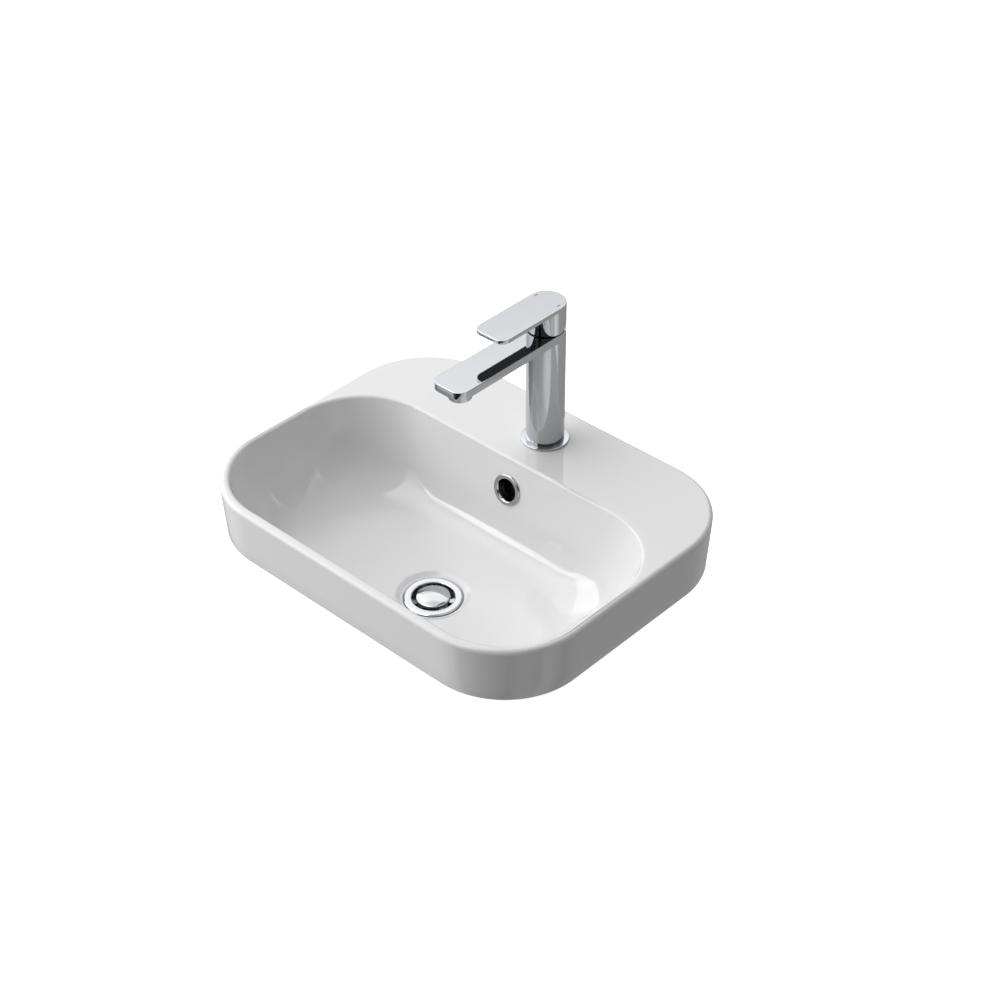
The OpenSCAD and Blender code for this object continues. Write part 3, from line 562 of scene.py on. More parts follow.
def tap_rings():
    """Rings from the centre of the column's foot outwards, up the column, out under the spout, round its
    edges, over its top and down the cartridge's chamber, in millimetres from the spout's top."""
    plan = bar_outline(SPOUT_REACH, TIP_R)
    under = plan + (bar_outline(SPOUT_REACH, TIP_R, 1.4) - plan) * front_weight(plan)[:, None]
    column = [(0.01, foot), (spigot_r - 0.4, foot), (spigot_r, foot + 0.4), (spigot_r, column_bottom),
              (COLUMN_R - 0.4, column_bottom), (COLUMN_R, column_bottom + 0.4), (COLUMN_R, -100.0),
              (COLUMN_R, -50.0), (COLUMN_R, -SPOUT_T - 1.2), (COLUMN_R, -SPOUT_T)]
    chamber = [(CHAMBER_R + 0.4, 0.0), (CHAMBER_R, -0.4), (CHAMBER_R, -CHAMBER_D), (0.01, -CHAMBER_D)]
    rings = [at(round_like(plan, r), z) for r, z in column]
    rings += [at(under, -SPOUT_T)]
    rings += bar_side(SPOUT_REACH, TIP_R, 0.0, -SPOUT_T, 0.7, 0.7)
    rings += [at(round_like(plan, r), z) for r, z in chamber]
    return rings, len(plan)


rings, count = tap_rings()
faces = ring_faces(len(rings), count, True, True)
tap = make_piece("tap_shell", ring_points(rings) + tap_at, faces, "fixed_parts", "tap_body")

# The water's way through the casting, the aerator's seat and the stud's hole
waterway = block((-15, aerator_y - 12.2, -SPOUT_T + 2), (15, -16.8, -2.5))
drop = block((-8, -20.2, -29), (8, -14.8, -2.5))
aerator_seat = rod(11.55, -SPOUT_T - 0.5, -SPOUT_T + 2.5, y=aerator_y)
inlets = [rod(5.0, foot - 0.5, foot + 14, x=side * 7, y=-6) for side in (-1, 1)]
feeds = [rod(3.2, foot + 13, 0.5 - CHAMBER_D, x=side * 7, y=-6) for side in (-1, 1)]
stud_hole = rod(4.05, foot - 0.5, foot + 12, y=10)
bores = [waterway, drop, aerator_seat, *inlets, *feeds, stud_hole]
carve(tap, [("DIFFERENCE", cutter_at(tap_at, bore)) for bore in bores])


def lever_rings():
    """Rings from the top's centre outwards, round the plate, down the hub to its foot, which rises behind
    the axis at the lift's angle, and up the bore to the socket for the spindle."""
    plan = bar_outline(LEVER_REACH, LEVER_TIP_R)
    top = LEVER_RISE
    bottom = LEVER_RISE - LEVER_T
    hub = round_like(plan, COLUMN_R)
    soft_hub = round_like(plan, COLUMN_R - 0.35)
    bore_edge = round_like(plan, HUB_BORE + 0.35)
    bore = round_like(plan, HUB_BORE)

    def foot_z(ring):
        """The hub's foot: level before the axis, and rising with the distance behind it."""
        return SEAM + np.maximum(ring[:, 1], 0) * math.tan(LIFT)

    spin = round_like(plan, 1.0)
    socket = spin * (SOCKET_HW / np.maximum(np.abs(spin[:, 0]), np.abs(spin[:, 1])))[:, None]
    socket_end = HUB_CEILING + SOCKET_D
    under = plan + (bar_outline(LEVER_REACH, LEVER_TIP_R, 1.2) - plan) * front_weight(plan)[:, None]
    rings = [at(round_like(plan, 0.01), socket_end), at(socket, socket_end), at(socket, HUB_CEILING),
             at(bore, HUB_CEILING), at(bore, foot_z(bore) + 0.35), at(bore_edge, foot_z(bore_edge)),
             at(soft_hub, foot_z(soft_hub)), at(hub, foot_z(hub) + 0.35), at(hub, bottom - 4),
             at(hub, bottom), at(under, bottom)]
    rings += bar_side(LEVER_REACH, LEVER_TIP_R, top, bottom, 0.8, 0.6)
    rings += [at(round_like(plan, 0.01), top)]
    return rings, len(plan)


def facing_back(points):
    """Turns a piece on +Z to lie along +Y at the grub screw's height."""
    points = np.asarray(points, dtype=float)
    grub_z = HUB_CEILING + GRUB_RISE
    return np.stack([points[:, 0], points[:, 2], -points[:, 1] + grub_z], axis=1) + tap_at


rings, count = lever_rings()
faces = ring_faces(len(rings), count, True, True)
lever = make_piece("lever_shell", ring_points(rings) + tap_at, faces, "lever_group", "lever")
points, faces = rod(2.05, 3.0, 23.0)
screw_hole = cutter(facing_back(points), faces)
points, faces = rod(2.95, 19.6, 24.0)
cap_hole = cutter(facing_back(points), faces)
carve(lever, [("DIFFERENCE", screw_hole), ("DIFFERENCE", cap_hole)])

# Cap over the grub screw
points, faces = turned(rounded([(0, 19.6, 0), (2.9, 19.6, 0), (2.9, 21.6, 0.35), (0, 21.9, 0)]), 64)
screw_cap = make_piece("screw_cap_disc", facing_back(points), faces, "lever_group", "screw_cap")


def dash(name, node, side):
    """A pill in plan, 1.5 by 5, whose top is crowned in small steps and stands 0.125 above the lever."""
    count = 48
    t = 2 * math.pi * np.arange(count) / count
    straight = np.sign(np.sin(t)) * 1.75
    rings = []
    for scale, z in [(1.0, -0.6), (1.0, 0.0), (0.92, 0.06), (0.75, 0.1), (0.4, 0.12), (0.01, 0.125)]:
        x = 0.75 * scale * np.cos(t)
        y = 0.75 * scale * np.sin(t) + straight * min(1, scale * 1.2)
        rings.append(np.stack([x, y, np.full(count, z)], axis=1))
    points = ring_points(rings) + tap_at + np.array([side * MARK_X, MARK_Y, LEVER_RISE])
    return make_piece(name, points, ring_faces(len(rings), count, True, True), "lever_group", node)


red_dash = dash("red_dash", "hot_mark", -1)
blue_dash = dash("blue_dash", "cold_mark", 1)

# Dome in the seam, a ball's zone about the lever's pivot
dome_r = math.sqrt((COLUMN_R - 2.6) ** 2 + PIVOT ** 2)
inner_r = dome_r - 1.8
mouth_r = 12.0
outside = [(dome_r * math.sin(a), dome_r * math.cos(a) - PIVOT)
           for a in np.linspace(math.acos(PIVOT / dome_r), math.asin(mouth_r / dome_r), 16)]
inside = [(inner_r * math.sin(a), inner_r * math.cos(a) - PIVOT)
          for a in np.linspace(math.asin(mouth_r / inner_r), math.acos((PIVOT + 1) / inner_r), 14)]
collar_foot = [(16.0, 1.0), (16.0, -2.0), (CHAMBER_R - 0.05, -2.0), (CHAMBER_R - 0.05, 0.0)]
points, faces = turned(outside + inside + collar_foot)
dome = make_piece("seam_dome", points + tap_at, faces, "fixed_parts", "dome_cap")

# Trim under the column
points, faces = turned(rounded([
    (16.9, 0, 0), (16.9, 2.5, 0.3), (28, 2.5, 0.7), (28, 0, 0.2), (25.9, 0, 0), (25.9, 1.2, 0),
    (20.1, 1.2, 0), (20.1, 0, 0)]), 160)
ring_at = np.array([0, TAP_Y, SKIRT_H])
base_ring = make_piece("base_trim", points + ring_at, faces, "fixed_parts", "base_ring")

# Aerator's cup under the spout's tip
points, faces = turned(rounded([
    (8.7, -AERATOR_H, 0.3), (AERATOR_R, -AERATOR_H, 0.6), (AERATOR_R, 0, 0), (11.5, 0, 0), (11.5, 3.0, 0.2),
    (9.95, 3.0, 0), (9.95, 2.0 - AERATOR_H, 0), (8.7, 2.0 - AERATOR_H, 0)]), 128)
cup_at = tap_at + np.array([0, aerator_y, -SPOUT_T])
aerator = make_piece("aerator_cup", points + cup_at, faces, "fixed_parts", "aerator_housing")

# Overflow ring: a soft, rounded collar on a plain sleeve
points, faces = turned(rounded([
    (OVERFLOW_BORE, -9.0, 0), (OVERFLOW_BORE + 1.5, -9.0, 0.2), (OVERFLOW_BORE + 1.5, 0.3, 0),
    (OVERFLOW_R - 0.3, 0.3, 0.1), (OVERFLOW_R, 0.9, 0.3), (OVERFLOW_R - 0.8, OVERFLOW_PROUD, 1.2),
    (14.2, OVERFLOW_PROUD, 1.6), (OVERFLOW_BORE, 0.2, 0.4)], 6), 160)
points = moved(points, overflow_at, overflow_tilt)
collar = make_piece("overflow_collar", points, faces, "fixed_parts", "overflow_ring")


# Waste

def threaded(r, depth, pitch, z0, z1, segments):
    """Rings (rho cos t, rho sin t, z), where rho falls by a share of the depth that follows a triangle wave
    of z / pitch - t / 2 pi, and the thread fades in over its first and last turn."""
    rings_per_pitch = 8
    t = 2 * math.pi * np.arange(segments) / segments
    rings = []
    for z in np.linspace(z0, z1, int(abs(z1 - z0) / pitch * rings_per_pitch) + 1):
        phase = (z / pitch - t / (2 * math.pi)) % 1.0
        wave = np.abs(2 * phase - 1)
        fade = min(1.0, abs(z - z0) / pitch, abs(z1 - z) / pitch)
        rho = r - depth * np.clip(wave * 1.25 - 0.12, 0, 1) * fade
        rings.append(np.stack([rho * np.cos(t), rho * np.sin(t), np.full(segments, z)], axis=1))
    return rings


def plain_rings(profile, segments):
    """A ring (r cos t, r sin t, z) for each (r, z) of a profile, for t from 0 to 2 pi."""
    t = 2 * math.pi * np.arange(segments) / segments
    rings = []
    for r, z in profile:
        rings.append(np.stack([r * np.cos(t), r * np.sin(t), np.full(segments, float(z))], axis=1))
    return rings


def waste_rings(segments):
    """Rings from the tube's end up its two threads, out to the flange, over its rounded edge, and down the
    cup and the bore, in millimetres from the flange's top."""
    smooth_r = TUBE_R - 1.0
    outer_r = TUBE_R - 0.1
    cup_wall = 27.5
    end = rounded([(TUBE_BORE, -TUBE_END, 0), (TUBE_R - 0.8, -TUBE_END, 0.3), (outer_r, -TUBE_END + 0.8, 0.2),
                   (outer_r, -TUBE_END + 1.2, 0)], 3)
    rings = plain_rings(end, segments)
    rings += threaded(TUBE_R, THREAD_D, THREAD_PITCH, -TUBE_END + 1.4, -53.5, segments)
    rings += plain_rings([(smooth_r, -53.2), (smooth_r, -51.2)], segments)
    rings += threaded(TUBE_R, THREAD_D, THREAD_PITCH, -50.9, -22.0, segments)
    upper = rounded([(TUBE_R, -12.7, 0), (cup_wall, -5.2, 0.5), (cup_wall, -FLANGE_T, 0),
                     (FLANGE_R, -FLANGE_T, 0.2), (FLANGE_R, -1.0, 0.4), (FLANGE_R - 1.8, 0, 1.6),
                     (CUP_R + 1.0, -0.15, 0.8), (CUP_R, -1.2, 0.6), (CUP_R, -5.2, 0.8),
                     (TUBE_BORE, -11.7, 0.8), (TUBE_BORE, -50.0, 0)], 5)
    return rings + plain_rings(upper, segments)


waste_at = np.array([0, WASTE_Y, WASTE_Z])
segments = 128
rings = waste_rings(segments)
faces = ring_faces(len(rings), segments, loop=True)
waste = make_piece("waste_cup", ring_points(rings) + waste_at, faces, "fixed_parts", "waste_body")
carve(waste, [
    ("UNION", cutter_at(waste_at, block((-19, -2.5, -30), (19, 2.5, -26)))),
    ("UNION", cutter_at(waste_at, rod(6.5, -30, -26))),
    ("DIFFERENCE", cutter_at(waste_at, rod(3.15, -31, -25))),
    ("DIFFERENCE", cutter_at(waste_at, block((-9, -22, -20.5), (9, 22, -13.0)))),
])

# Plug: a ball's cap of radius crown on a low, straight edge
crown = (PLUG_R ** 2 + PLUG_RISE ** 2) / (2 * PLUG_RISE)
crown_edge = math.asin((PLUG_R - 0.5) / crown)
cap_profile = [(0, -2.2), (PLUG_R - 0.3, -2.2), (PLUG_R, -1.9), (PLUG_R, -0.5), (PLUG_R - 0.15, -0.15)]
cap_profile += [(crown * math.sin(a), PLUG_RISE - crown * (1 - math.cos(a)))
                for a in np.linspace(crown_edge, 0.0, 30)]
cap_profile[-1] = (0, PLUG_RISE)
points, faces = turned(cap_profile, 160)
plug = make_piece("plug_dome", points + waste_at, faces, "plug", "plug_cap")

# Spring under the plug
spring_low, spring_high = -23.98, -2.22
wire_sides = 12


def spring_rings():
    """A round wire wound on a cylinder: rings in upright planes through the axis, whose centres climb evenly
    along a helix except for a flat half turn at each end."""
    turns = 8
    wire = 0.5
    radius = 3.6
    t = np.linspace(0, turns, turns * 24 + 1)
    climb = np.clip((t - 0.5) / (turns - 1), 0, 1)
    height = spring_low + wire + (spring_high - spring_low - 2 * wire) * climb
    b = 2 * math.pi * np.arange(wire_sides) / wire_sides
    rho = radius + wire * np.cos(b)
    rings = []
    for turn, z in zip(2 * math.pi * t, height):
        rings.append(np.stack([rho * math.cos(turn), rho * math.sin(turn), z - wire * np.sin(b)], axis=1))
    return rings


rings = spring_rings()
points = ring_points(rings) + waste_at
faces = ring_faces(len(rings), wire_sides, True, True)
spring = make_piece("coil_spring", points, faces, "fixed_parts", "click_spring")
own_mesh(spring)

# Stud that holds the tap on the ledge
sides = 48
rings = plain_rings([(0.01, -58.0), (3.3, -58.0), (3.8, -57.4)], sides)
rings += threaded(4.0, 0.6, 1.25, -57.2, 3.0, sides)
rings += plain_rings([(3.9, 3.6), (3.4, 4.0), (0.01, 4.0)], sides)
points = ring_points(rings) + np.array([0, TAP_Y + 10, SKIRT_H])
faces = ring_faces(len(rings), sides, True, True)
stud = make_piece("threaded_stud", points, faces, "fixed_parts", "fixing_stud")


# Fixings and seals: the CAD's shapes with their edges softened

def softened(node, body, width, cut=None):
    """A welded copy of a CAD node, first cut to a closed shape where one is given, whose edges sharper than
    30 degrees are rounded over in two steps."""
    copy = frame["nodes"][node].data.copy()
    piece = finish_piece(node + "_soft", copy, body, node, weld=2e-5)
    if cut:
        carve(piece, [("INTERSECT", cut)])
    work = bmesh.new()
    work.from_mesh(piece.data)
    bmesh.ops.dissolve_limit(work, angle_limit=math.radians(0.5), verts=work.verts, edges=work.edges)
    work.to_mesh(piece.data)
    work.free()
    soft = piece.modifiers.new("soft", "BEVEL")
    soft.width = width * 0.001
    soft.segments = 2
    soft.limit_method = "ANGLE"
    soft.angle_limit = math.radians(30)
    return piece


def nut_blank(across, z0, z1, y):
    """A turned blank with a cone at each end, which cuts a nut's six corners back at 30 degrees. Its axis
    is upright and y behind the frame's."""
    corner = across / math.sqrt(3)
    flat = across / 2 * 0.97
    drop = (corner - flat) * math.tan(math.radians(30))
    wide = corner + 0.5
    lower = [(0, z0), (flat, z0), (wide, z0 + drop)]
    upper = [(wide, z1 - drop), (flat, z1), (0, z1)]
    points, faces = turned(lower + upper, 96)
    return cutter(points + np.array([0, y, 0]), faces)


nut_top = SKIRT_H - LEDGE_T - 5.5
nut_across = 7.5 * math.sqrt(3)
nut_cut = nut_blank(nut_across, nut_top - 18, nut_top, TAP_Y + 10)
backnut_top = WASTE_Z - UNDER_WASTE - 8.0
backnut_across = RING_R * math.sqrt(3)
backnut_cut = nut_blank(backnut_across, backnut_top - 10, backnut_top, WASTE_Y)
soft_pieces = [
    softened("fixing_nut", "fixed_parts", 0.25, nut_cut),
    softened("waste_backnut", "fixed_parts", 0.4, backnut_cut),
    softened("base_seal", "fixed_parts", 0.25),
    softened("fixing_gasket", "fixed_parts", 0.5),
    softened("fixing_plate", "fixed_parts", 0.4),
    softened("waste_lower_seal", "fixed_parts", 0.8),
    softened("waste_washer", "fixed_parts", 0.4),
    softened("waste_top_seal", "fixed_parts", 0.3),
    softened("aerator_insert", "fixed_parts", 0.12),
    softened("plug_sleeve", "plug", 0.25),
    softened("plug_seal", "plug", 0.4),
]


# Shader maths

class Wire:
    """A number on its way through a material: the operators add Math nodes to the same tree."""

    def __init__(self, tree, socket):
        self.tree = tree
        self.socket = socket

    def math(self, kind, *values, clamp=False):
        """The result of a Math node; values are its inputs in order, numbers or wires."""
        node = self.tree.nodes.new("ShaderNodeMath")
        node.operation = kind
        node.use_clamp = clamp
        for slot, value in enumerate(values):
            if isinstance(value, Wire):
                self.tree.links.new(value.socket, node.inputs[slot])
            else:
                node.inputs[slot].default_value = value
        return Wire(self.tree, node.outputs[0])

    def __add__(self, other):
        return self.math("ADD", self, other)

    __radd__ = __add__

    def __sub__(self, other):
        return self.math("SUBTRACT", self, other)

    def __rsub__(self, other):
        return self.math("SUBTRACT", other, self)

    def __mul__(self, other):
        return self.math("MULTIPLY", self, other)

    __rmul__ = __mul__

    def __truediv__(self, other):
        return self.math("DIVIDE", self, other)

    def at_least(self, low):
        """The larger of this and low."""
        return self.math("MAXIMUM", self, low)

    def clipped(self, low, high):
        """0 at low, 1 at high, straight between and held outside."""
        return self.math("MULTIPLY", self - low, 1.0 / (high - low), clamp=True)


class Finish:
    """A material with one main shader, and a method that adds any other node."""

    def __init__(self, name, **constants):
        self.material = bpy.data.materials.new(name)
        self.material.use_nodes = True
        self.tree = self.material.node_tree
        self.shader = self.tree.nodes["Principled BSDF"]
        for key, value in constants.items():
            socket = self.shader.inputs[key.replace("_", " ")]
            socket.default_value = (*value, 1.0) if isinstance(value, tuple) else value

    def node(self, kind, settings=None, output=0, numbered=None, **named):
        """One output of a new node: its settings are set first, and then values or links go to its sockets,
        which have a name or a number."""
        node = self.tree.nodes.new("ShaderNode" + kind)
        for key, value in (settings or {}).items():
            setattr(node, key, value)
        sockets = {key.replace("_", " "): value for key, value in named.items()}
        sockets.update(numbered or {})
        for key, value in sockets.items():
            socket = node.inputs[key]
            if isinstance(value, Wire):
                self.tree.links.new(value.socket, socket)
            elif socket.type == "RGBA":
                socket.default_value = (*value, 1.0)
            else:
                socket.default_value = value
        return Wire(self.tree, node.outputs[output])

    def place(self):
        """Where a point lies in the frame, in metres."""
        return self.node("TexCoord", output="Object")

    def noise(self, scale, detail=3.0, rough=0.5, where=None):
        """Cloudy noise from 0 to 1, about one cloud in 1 / scale metres."""
        where = where or self.place()
        return self.node("TexNoise", Vector=where, Scale=scale, Detail=detail, Roughness=rough)

    def along(self, axis):
        """The place along one axis of the frame, in metres."""
        return self.node("SeparateXYZ", output=axis, Vector=self.place())

    def height(self):
        """Height in the frame, in metres."""
        return self.along("Z")

    def within(self, axis, low, high):
        """1 between two places along an axis of the frame and 0 elsewhere, in metres."""
        value = self.along(axis)
        return value.math("GREATER_THAN", value, low) * value.math("LESS_THAN", value, high)

    def behind_wall(self, near, far):
        """1 between two distances into the ceramic, straight behind the bowl's back wall."""
        behind = self.along("Y") - overflow_at[1] * 0.001
        above = self.height() - overflow_at[2] * 0.001
        depth = behind * math.cos(LEAN) - above * math.sin(LEAN)
        return depth.math("GREATER_THAN", depth, near) * depth.math("LESS_THAN", depth, far)

    def upward(self):
        """How far the surface faces up: 1 on a floor, -1 on a ceiling."""
        return self.node("SeparateXYZ", output="Z", Vector=self.node("NewGeometry", output="Normal"))

    def blend(self, share, low, high):
        """A colour between two: a Mix node with its factor driven."""
        numbered = {0: share, 6: low, 7: high}
        return self.node("Mix", {"data_type": "RGBA"}, output=2, numbered=numbered)

    def feed(self, key, value):
        """Links a wire to a socket of the main shader."""
        self.tree.links.new(value.socket, self.shader.inputs[key])

    def bump(self, height, strength, distance):
        """Uneven light from a height, as if it stood that distance proud, in metres."""
        self.feed("Normal", self.node("Bump", Strength=strength, Distance=distance, Height=height))


def china():
    """White glaze with a faint orange peel, the bare, wiped foot under it, and painted shade: a near-black
    colour inside the overflow duct.
    """
    finish = Finish("glazed_china", IOR=1.56, Specular_IOR_Level=0.5)
    facing_down = 1 - finish.upward().clipped(-0.95, -0.80)
    at_foot = (1 - finish.height().clipped(0.0006, 0.0014)) * finish.height().clipped(-0.0020, -0.0010)
    bare = at_foot * facing_down
    thin = 1 - finish.upward().clipped(-0.45, -0.15)
    beside = (DUCT_W / 2 + 0.1) * 0.001
    # Painted shade: the inside of the overflow duct, behind the back wall, is coloured near-black and made
    # rougher.
    duct_shade = finish.within("X", -beside, beside) * finish.within("Z", -0.030, 0.060)
    duct_shade = duct_shade * finish.behind_wall((DUCT_NEAR - 0.3) * 0.001, (DUCT_FAR + 1.1) * 0.001)
    cloud = finish.noise(9.0, 2.0, 0.5)
    glaze = finish.blend(cloud, (0.806, 0.806, 0.808), (0.828, 0.828, 0.829))
    grain = finish.noise(900.0, 4.0, 0.65)
    biscuit = finish.blend(grain, (0.66, 0.63, 0.58), (0.76, 0.74, 0.70))
    lit = finish.blend(bare, glaze, biscuit)
    # The duct's mask mixes in a near-black colour, which paints the shade of that recess.
    finish.feed("Base Color", finish.blend(duct_shade, lit, (0.030, 0.030, 0.031)))
    rough = bare * 0.55 + duct_shade * 0.5 + thin * 0.12
    finish.feed("Roughness", rough + finish.noise(40.0, 2.0) * 0.02 + 0.030)
    finish.bump(finish.noise(160.0, 2.0, 0.4) * 0.35 + grain * bare, 0.10, 0.0004)
    return finish.material


def chrome(name="chrome_plate", under=(0.46, 0.47, 0.485)):
    """Mirror plate: a cool grey with hardly any haze, and a very faint unevenness from polishing. Faces
    that look down take the colour under: for the lever a dark grey, which is painted shade on its underside."""
    finish = Finish(name, Metallic=1.0)
    veil = finish.noise(30.0, 3.0, 0.6)
    plate = finish.blend(veil, (0.455, 0.465, 0.482), (0.480, 0.490, 0.506))
    # Downward faces take the colour under; where it is darker than the plate, it is painted shade.
    finish.feed("Base Color", finish.blend(finish.upward().clipped(-0.8, -0.4), under, plate))
    finish.feed("Roughness", finish.noise(220.0, 3.0) * 0.025 + 0.022)
    finish.bump(finish.noise(70.0, 2.0, 0.4), 0.03, 0.0002)
    return finish.material


def metal(name, low, high, rough):
    """Turned or plated metal: fine, upright marks in colour, roughness and height."""
    finish = Finish(name, Metallic=1.0)
    where = finish.node("Mapping", Vector=finish.place(), Scale=(1.0, 1.0, 0.08))
    marks = finish.noise(400.0, 4.0, 0.6, where)
    finish.feed("Base Color", finish.blend(marks, low, high))
    finish.feed("Roughness", marks * 0.16 + rough)
    finish.bump(marks, 0.12, 0.0002)
    return finish.material


def moulded(name, low, high, rough, peel=350.0, depth=0.10):
    """Moulded plastic, rubber or enamel: an even colour with slight clouding and a fine skin."""
    finish = Finish(name)
    finish.feed("Base Color", finish.blend(finish.noise(25.0, 3.0, 0.6), low, high))
    skin = finish.noise(peel, 3.0, 0.6)
    finish.feed("Roughness", skin * 0.12 + rough)
    finish.bump(skin, depth, 0.0002)
    return finish.material


finishes = {
    "glazed_china": china(),
    "chrome": chrome(),
    # The lever's downward faces get a dark grey: painted shade under the plate and hub.
    "lever_chrome": chrome("lever_chrome", (0.10, 0.10, 0.11)),
    "black_rubber": moulded("black_rubber", (0.012, 0.012, 0.013), (0.022, 0.022, 0.024), 0.52, 900.0, 0.25),
    "zinc_steel": metal("zinc_steel", (0.46, 0.47, 0.50), (0.60, 0.61, 0.63), 0.24),
    "raw_brass": metal("raw_brass", (0.58, 0.40, 0.16), (0.72, 0.53, 0.25), 0.18),
    "white_plastic": moulded("white_plastic", (0.70, 0.70, 0.68), (0.78, 0.78, 0.76), 0.34),
    "grey_plastic": moulded("grey_plastic", (0.36, 0.37, 0.38), (0.44, 0.45, 0.46), 0.32),
    "disc_ceramic": moulded("disc_ceramic", (0.74, 0.73, 0.69), (0.80, 0.79, 0.76), 0.20, 1200.0, 0.04),
    "red_enamel": moulded("red_enamel", (0.42, 0.012, 0.020), (0.52, 0.020, 0.030), 0.16, 600.0, 0.03),
    "blue_enamel": moulded("blue_enamel", (0.020, 0.060, 0.46), (0.030, 0.085, 0.58), 0.16, 600.0, 0.03),
}


def coat(thing, finish):
    """Gives an object one material and no other."""
    thing.data.materials.clear()
    thing.data.materials.append(finish)


for node_name, node in frame["nodes"].items():
    coat(node, finishes[slots[node_name]])
for piece in (tap, screw_cap, dome, base_ring, aerator, collar, waste, plug):
    coat(piece, finishes["chrome"])
for piece in (stud, spring):
    coat(piece, finishes["zinc_steel"])
for piece in soft_pieces:
    coat(piece, finishes[slots[piece.name.removesuffix("_soft")]])
coat(basin, finishes["glazed_china"])
coat(lever, finishes["lever_chrome"])
coat(red_dash, finishes["red_enamel"])
coat(blue_dash, finishes["blue_enamel"])


# Studio

def lay_floor(half, z, grey, glow):
    """A grey square from -half to half each way, at a height in metres, that glows evenly."""
    mesh = bpy.data.meshes.new("floor")
    corners = [(-half, -half, z), (half, -half, z), (half, half, z), (-half, half, z)]
    mesh.from_pydata(corners, [], [[0, 1, 2, 3]])
    colour = (grey, grey, grey)
    finish = Finish("floor", Base_Color=colour, Roughness=0.8, Emission_Color=colour, Emission_Strength=glow)
    mesh.materials.append(finish.material)
    obj = add_object("floor", mesh)
    return obj


floor = lay_floor(6.0, -0.1315, 0.94, 0.75)
floor.visible_diffuse = False
floor.visible_glossy = False
floor.visible_shadow = False


def softbox(name, place, size, brightness):
    """A rectangular light that faces the origin, as bright as a white wall of that brightness."""
    light = bpy.data.lights.new(name, "AREA")
    light.shape = "RECTANGLE"
    light.size, light.size_y = size
    light.energy = math.pi * size[0] * size[1] * brightness
    lamp = add_object(name, light)
    place = Vector(place)
    lamp.matrix_world = Matrix.Translation(place) @ place.to_track_quat("Z", "Y").to_matrix().to_4x4()


softbox("back_box", (-1.5, 1.7, 1.9), (2.8, 2.4), 0.47)
softbox("key_box", (-1.7, -1.5, 1.35), (1.6, 1.6), 0.45)
softbox("strip_box", (-1.42, -1.88, 1.05), (0.36, 0.8), 2.2)
softbox("left_box", (-1.95, -0.15, 0.95), (1.9, 0.9), 2.0)
softbox("near_left_box", (-0.95, -0.75, 0.45), (0.7, 0.5), 1.40)
softbox("near_front_box", (-0.55, -1.0, 0.35), (0.5, 0.5), 0.51)
softbox("left_back_box", (-2.0, 1.45, 0.85), (1.2, 0.9), 0.60)


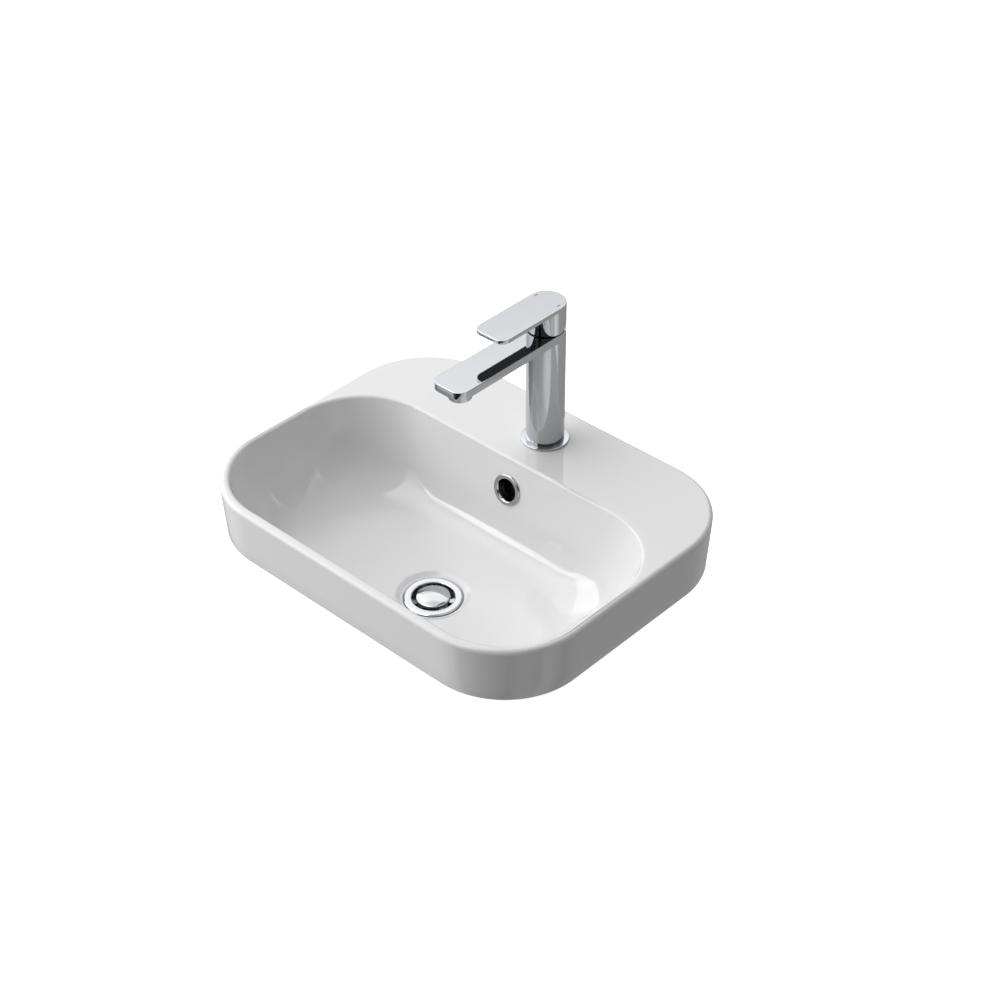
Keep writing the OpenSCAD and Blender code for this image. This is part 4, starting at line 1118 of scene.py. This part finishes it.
def studio_air():
    """The surroundings: four quarters of the azimuth that change with height. The brightest is on the
    object's left, and the one round the camera is dark up to well above the horizon. Mirror-like faces see
    the ground before the object darker, and the ground beside it and the upper part brighter, than the soft
    light that they give. Past the floor's edge the picture is white."""
    world = bpy.data.worlds.new("studio")
    bpy.context.scene.world = world
    world.use_nodes = True
    tree = world.node_tree
    way = tree.nodes.new("ShaderNodeTexCoord")
    split = tree.nodes.new("ShaderNodeSeparateXYZ")
    tree.links.new(way.outputs["Generated"], split.inputs[0])
    x, y, z = (Wire(tree, split.outputs[k]) for k in range(3))
    flat = x.math("SQRT", x * x + y * y).at_least(0.001)
    near = (x * 0.70 - y * 0.715) / flat
    right = (x * 0.715 + y * 0.70) / flat
    far = near.clipped(0.0, -1.0)
    quarter = {"near": near.clipped(0.66, 0.72), "far": far * far}
    rest = (1 - quarter["near"]) * (1 - quarter["far"])
    quarter["right"] = rest * right.clipped(-0.05, 0.05)
    quarter["left"] = rest * right.clipped(0.05, -0.05)
    low, mid, high = z.clipped(-0.10, 0.05), z.clipped(0.20, 0.40), z.clipped(0.55, 0.80)
    light = quarter["left"] * (low * 0.75 - mid * 0.51 + high * 0.92 + 0.73)
    light += quarter["far"] * (mid * 0.30 - high * 0.09 + 0.34)
    light += quarter["right"] * (low * 0.18 - mid * 0.46 + high * 0.50 + 0.37)
    light += quarter["near"] * (high * 0.40 - low * 0.15 + 0.15)
    path = tree.nodes.new("ShaderNodeLightPath")
    mirrored = Wire(tree, path.outputs["Is Glossy Ray"])
    ground = 1 - low
    front = ((x * 0.26 - y * 0.966) / flat).clipped(0.75, 0.85)
    beside = ((x * 0.996 - y * 0.087) / flat).clipped(0.80, 0.97)
    shift = light * (z.clipped(0.30, 0.45) * 0.75 - ground * front * 0.85)
    shift += ground * (beside * 0.60 + quarter["right"] * 0.15)
    shift += quarter["near"] * (z.clipped(0.10, 0.25) - z.clipped(0.50, 0.60)) * 0.12
    shift += quarter["far"] * (z.clipped(0.53, 0.62) * 0.55 - z.clipped(0.30, 0.45) * 0.22)
    light += mirrored * shift
    seen = Wire(tree, path.outputs["Is Camera Ray"])
    light = light * (1 - seen) + seen
    tree.links.new(light.socket, tree.nodes["Background"].inputs["Strength"])
    tree.nodes["Background"].inputs["Color"].default_value = (1.0, 1.0, 1.0, 1.0)


studio_air()

# Camera, fitted to the photograph: its distance is in metres, its lens and centre are in the picture's pixels

picture = 1000
azimuth, elevation, roll = math.radians(44.32), math.radians(38.42), math.radians(-1.08)
distance = 2.35041
focal_px, centre_x, centre_y = 2088.77, 463.8, 539.86
reach = math.cos(elevation)
back = Vector((math.sin(azimuth) * reach, -math.cos(azimuth) * reach, math.sin(elevation)))
right = Vector((math.cos(azimuth), math.sin(azimuth), 0))
up = back.cross(right)
across = right * math.cos(roll) + up * math.sin(roll)
upward = up * math.cos(roll) - right * math.sin(roll)
lens = bpy.data.cameras.new("camera")
lens.sensor_width = 36
lens.lens = focal_px * lens.sensor_width / picture
lens.shift_x = (picture / 2 - centre_x) / picture
lens.shift_y = (centre_y - picture / 2) / picture
lens.clip_end = 50
camera = add_object("camera", lens)
turn = Matrix((across, upward, back)).transposed().to_4x4()
camera.matrix_world = Matrix.Translation(back * distance) @ turn
bpy.context.scene.camera = camera

view = bpy.context.scene.view_settings
view.view_transform = "Standard"
view.look = "None"
view.exposure = 0
view.gamma = 1
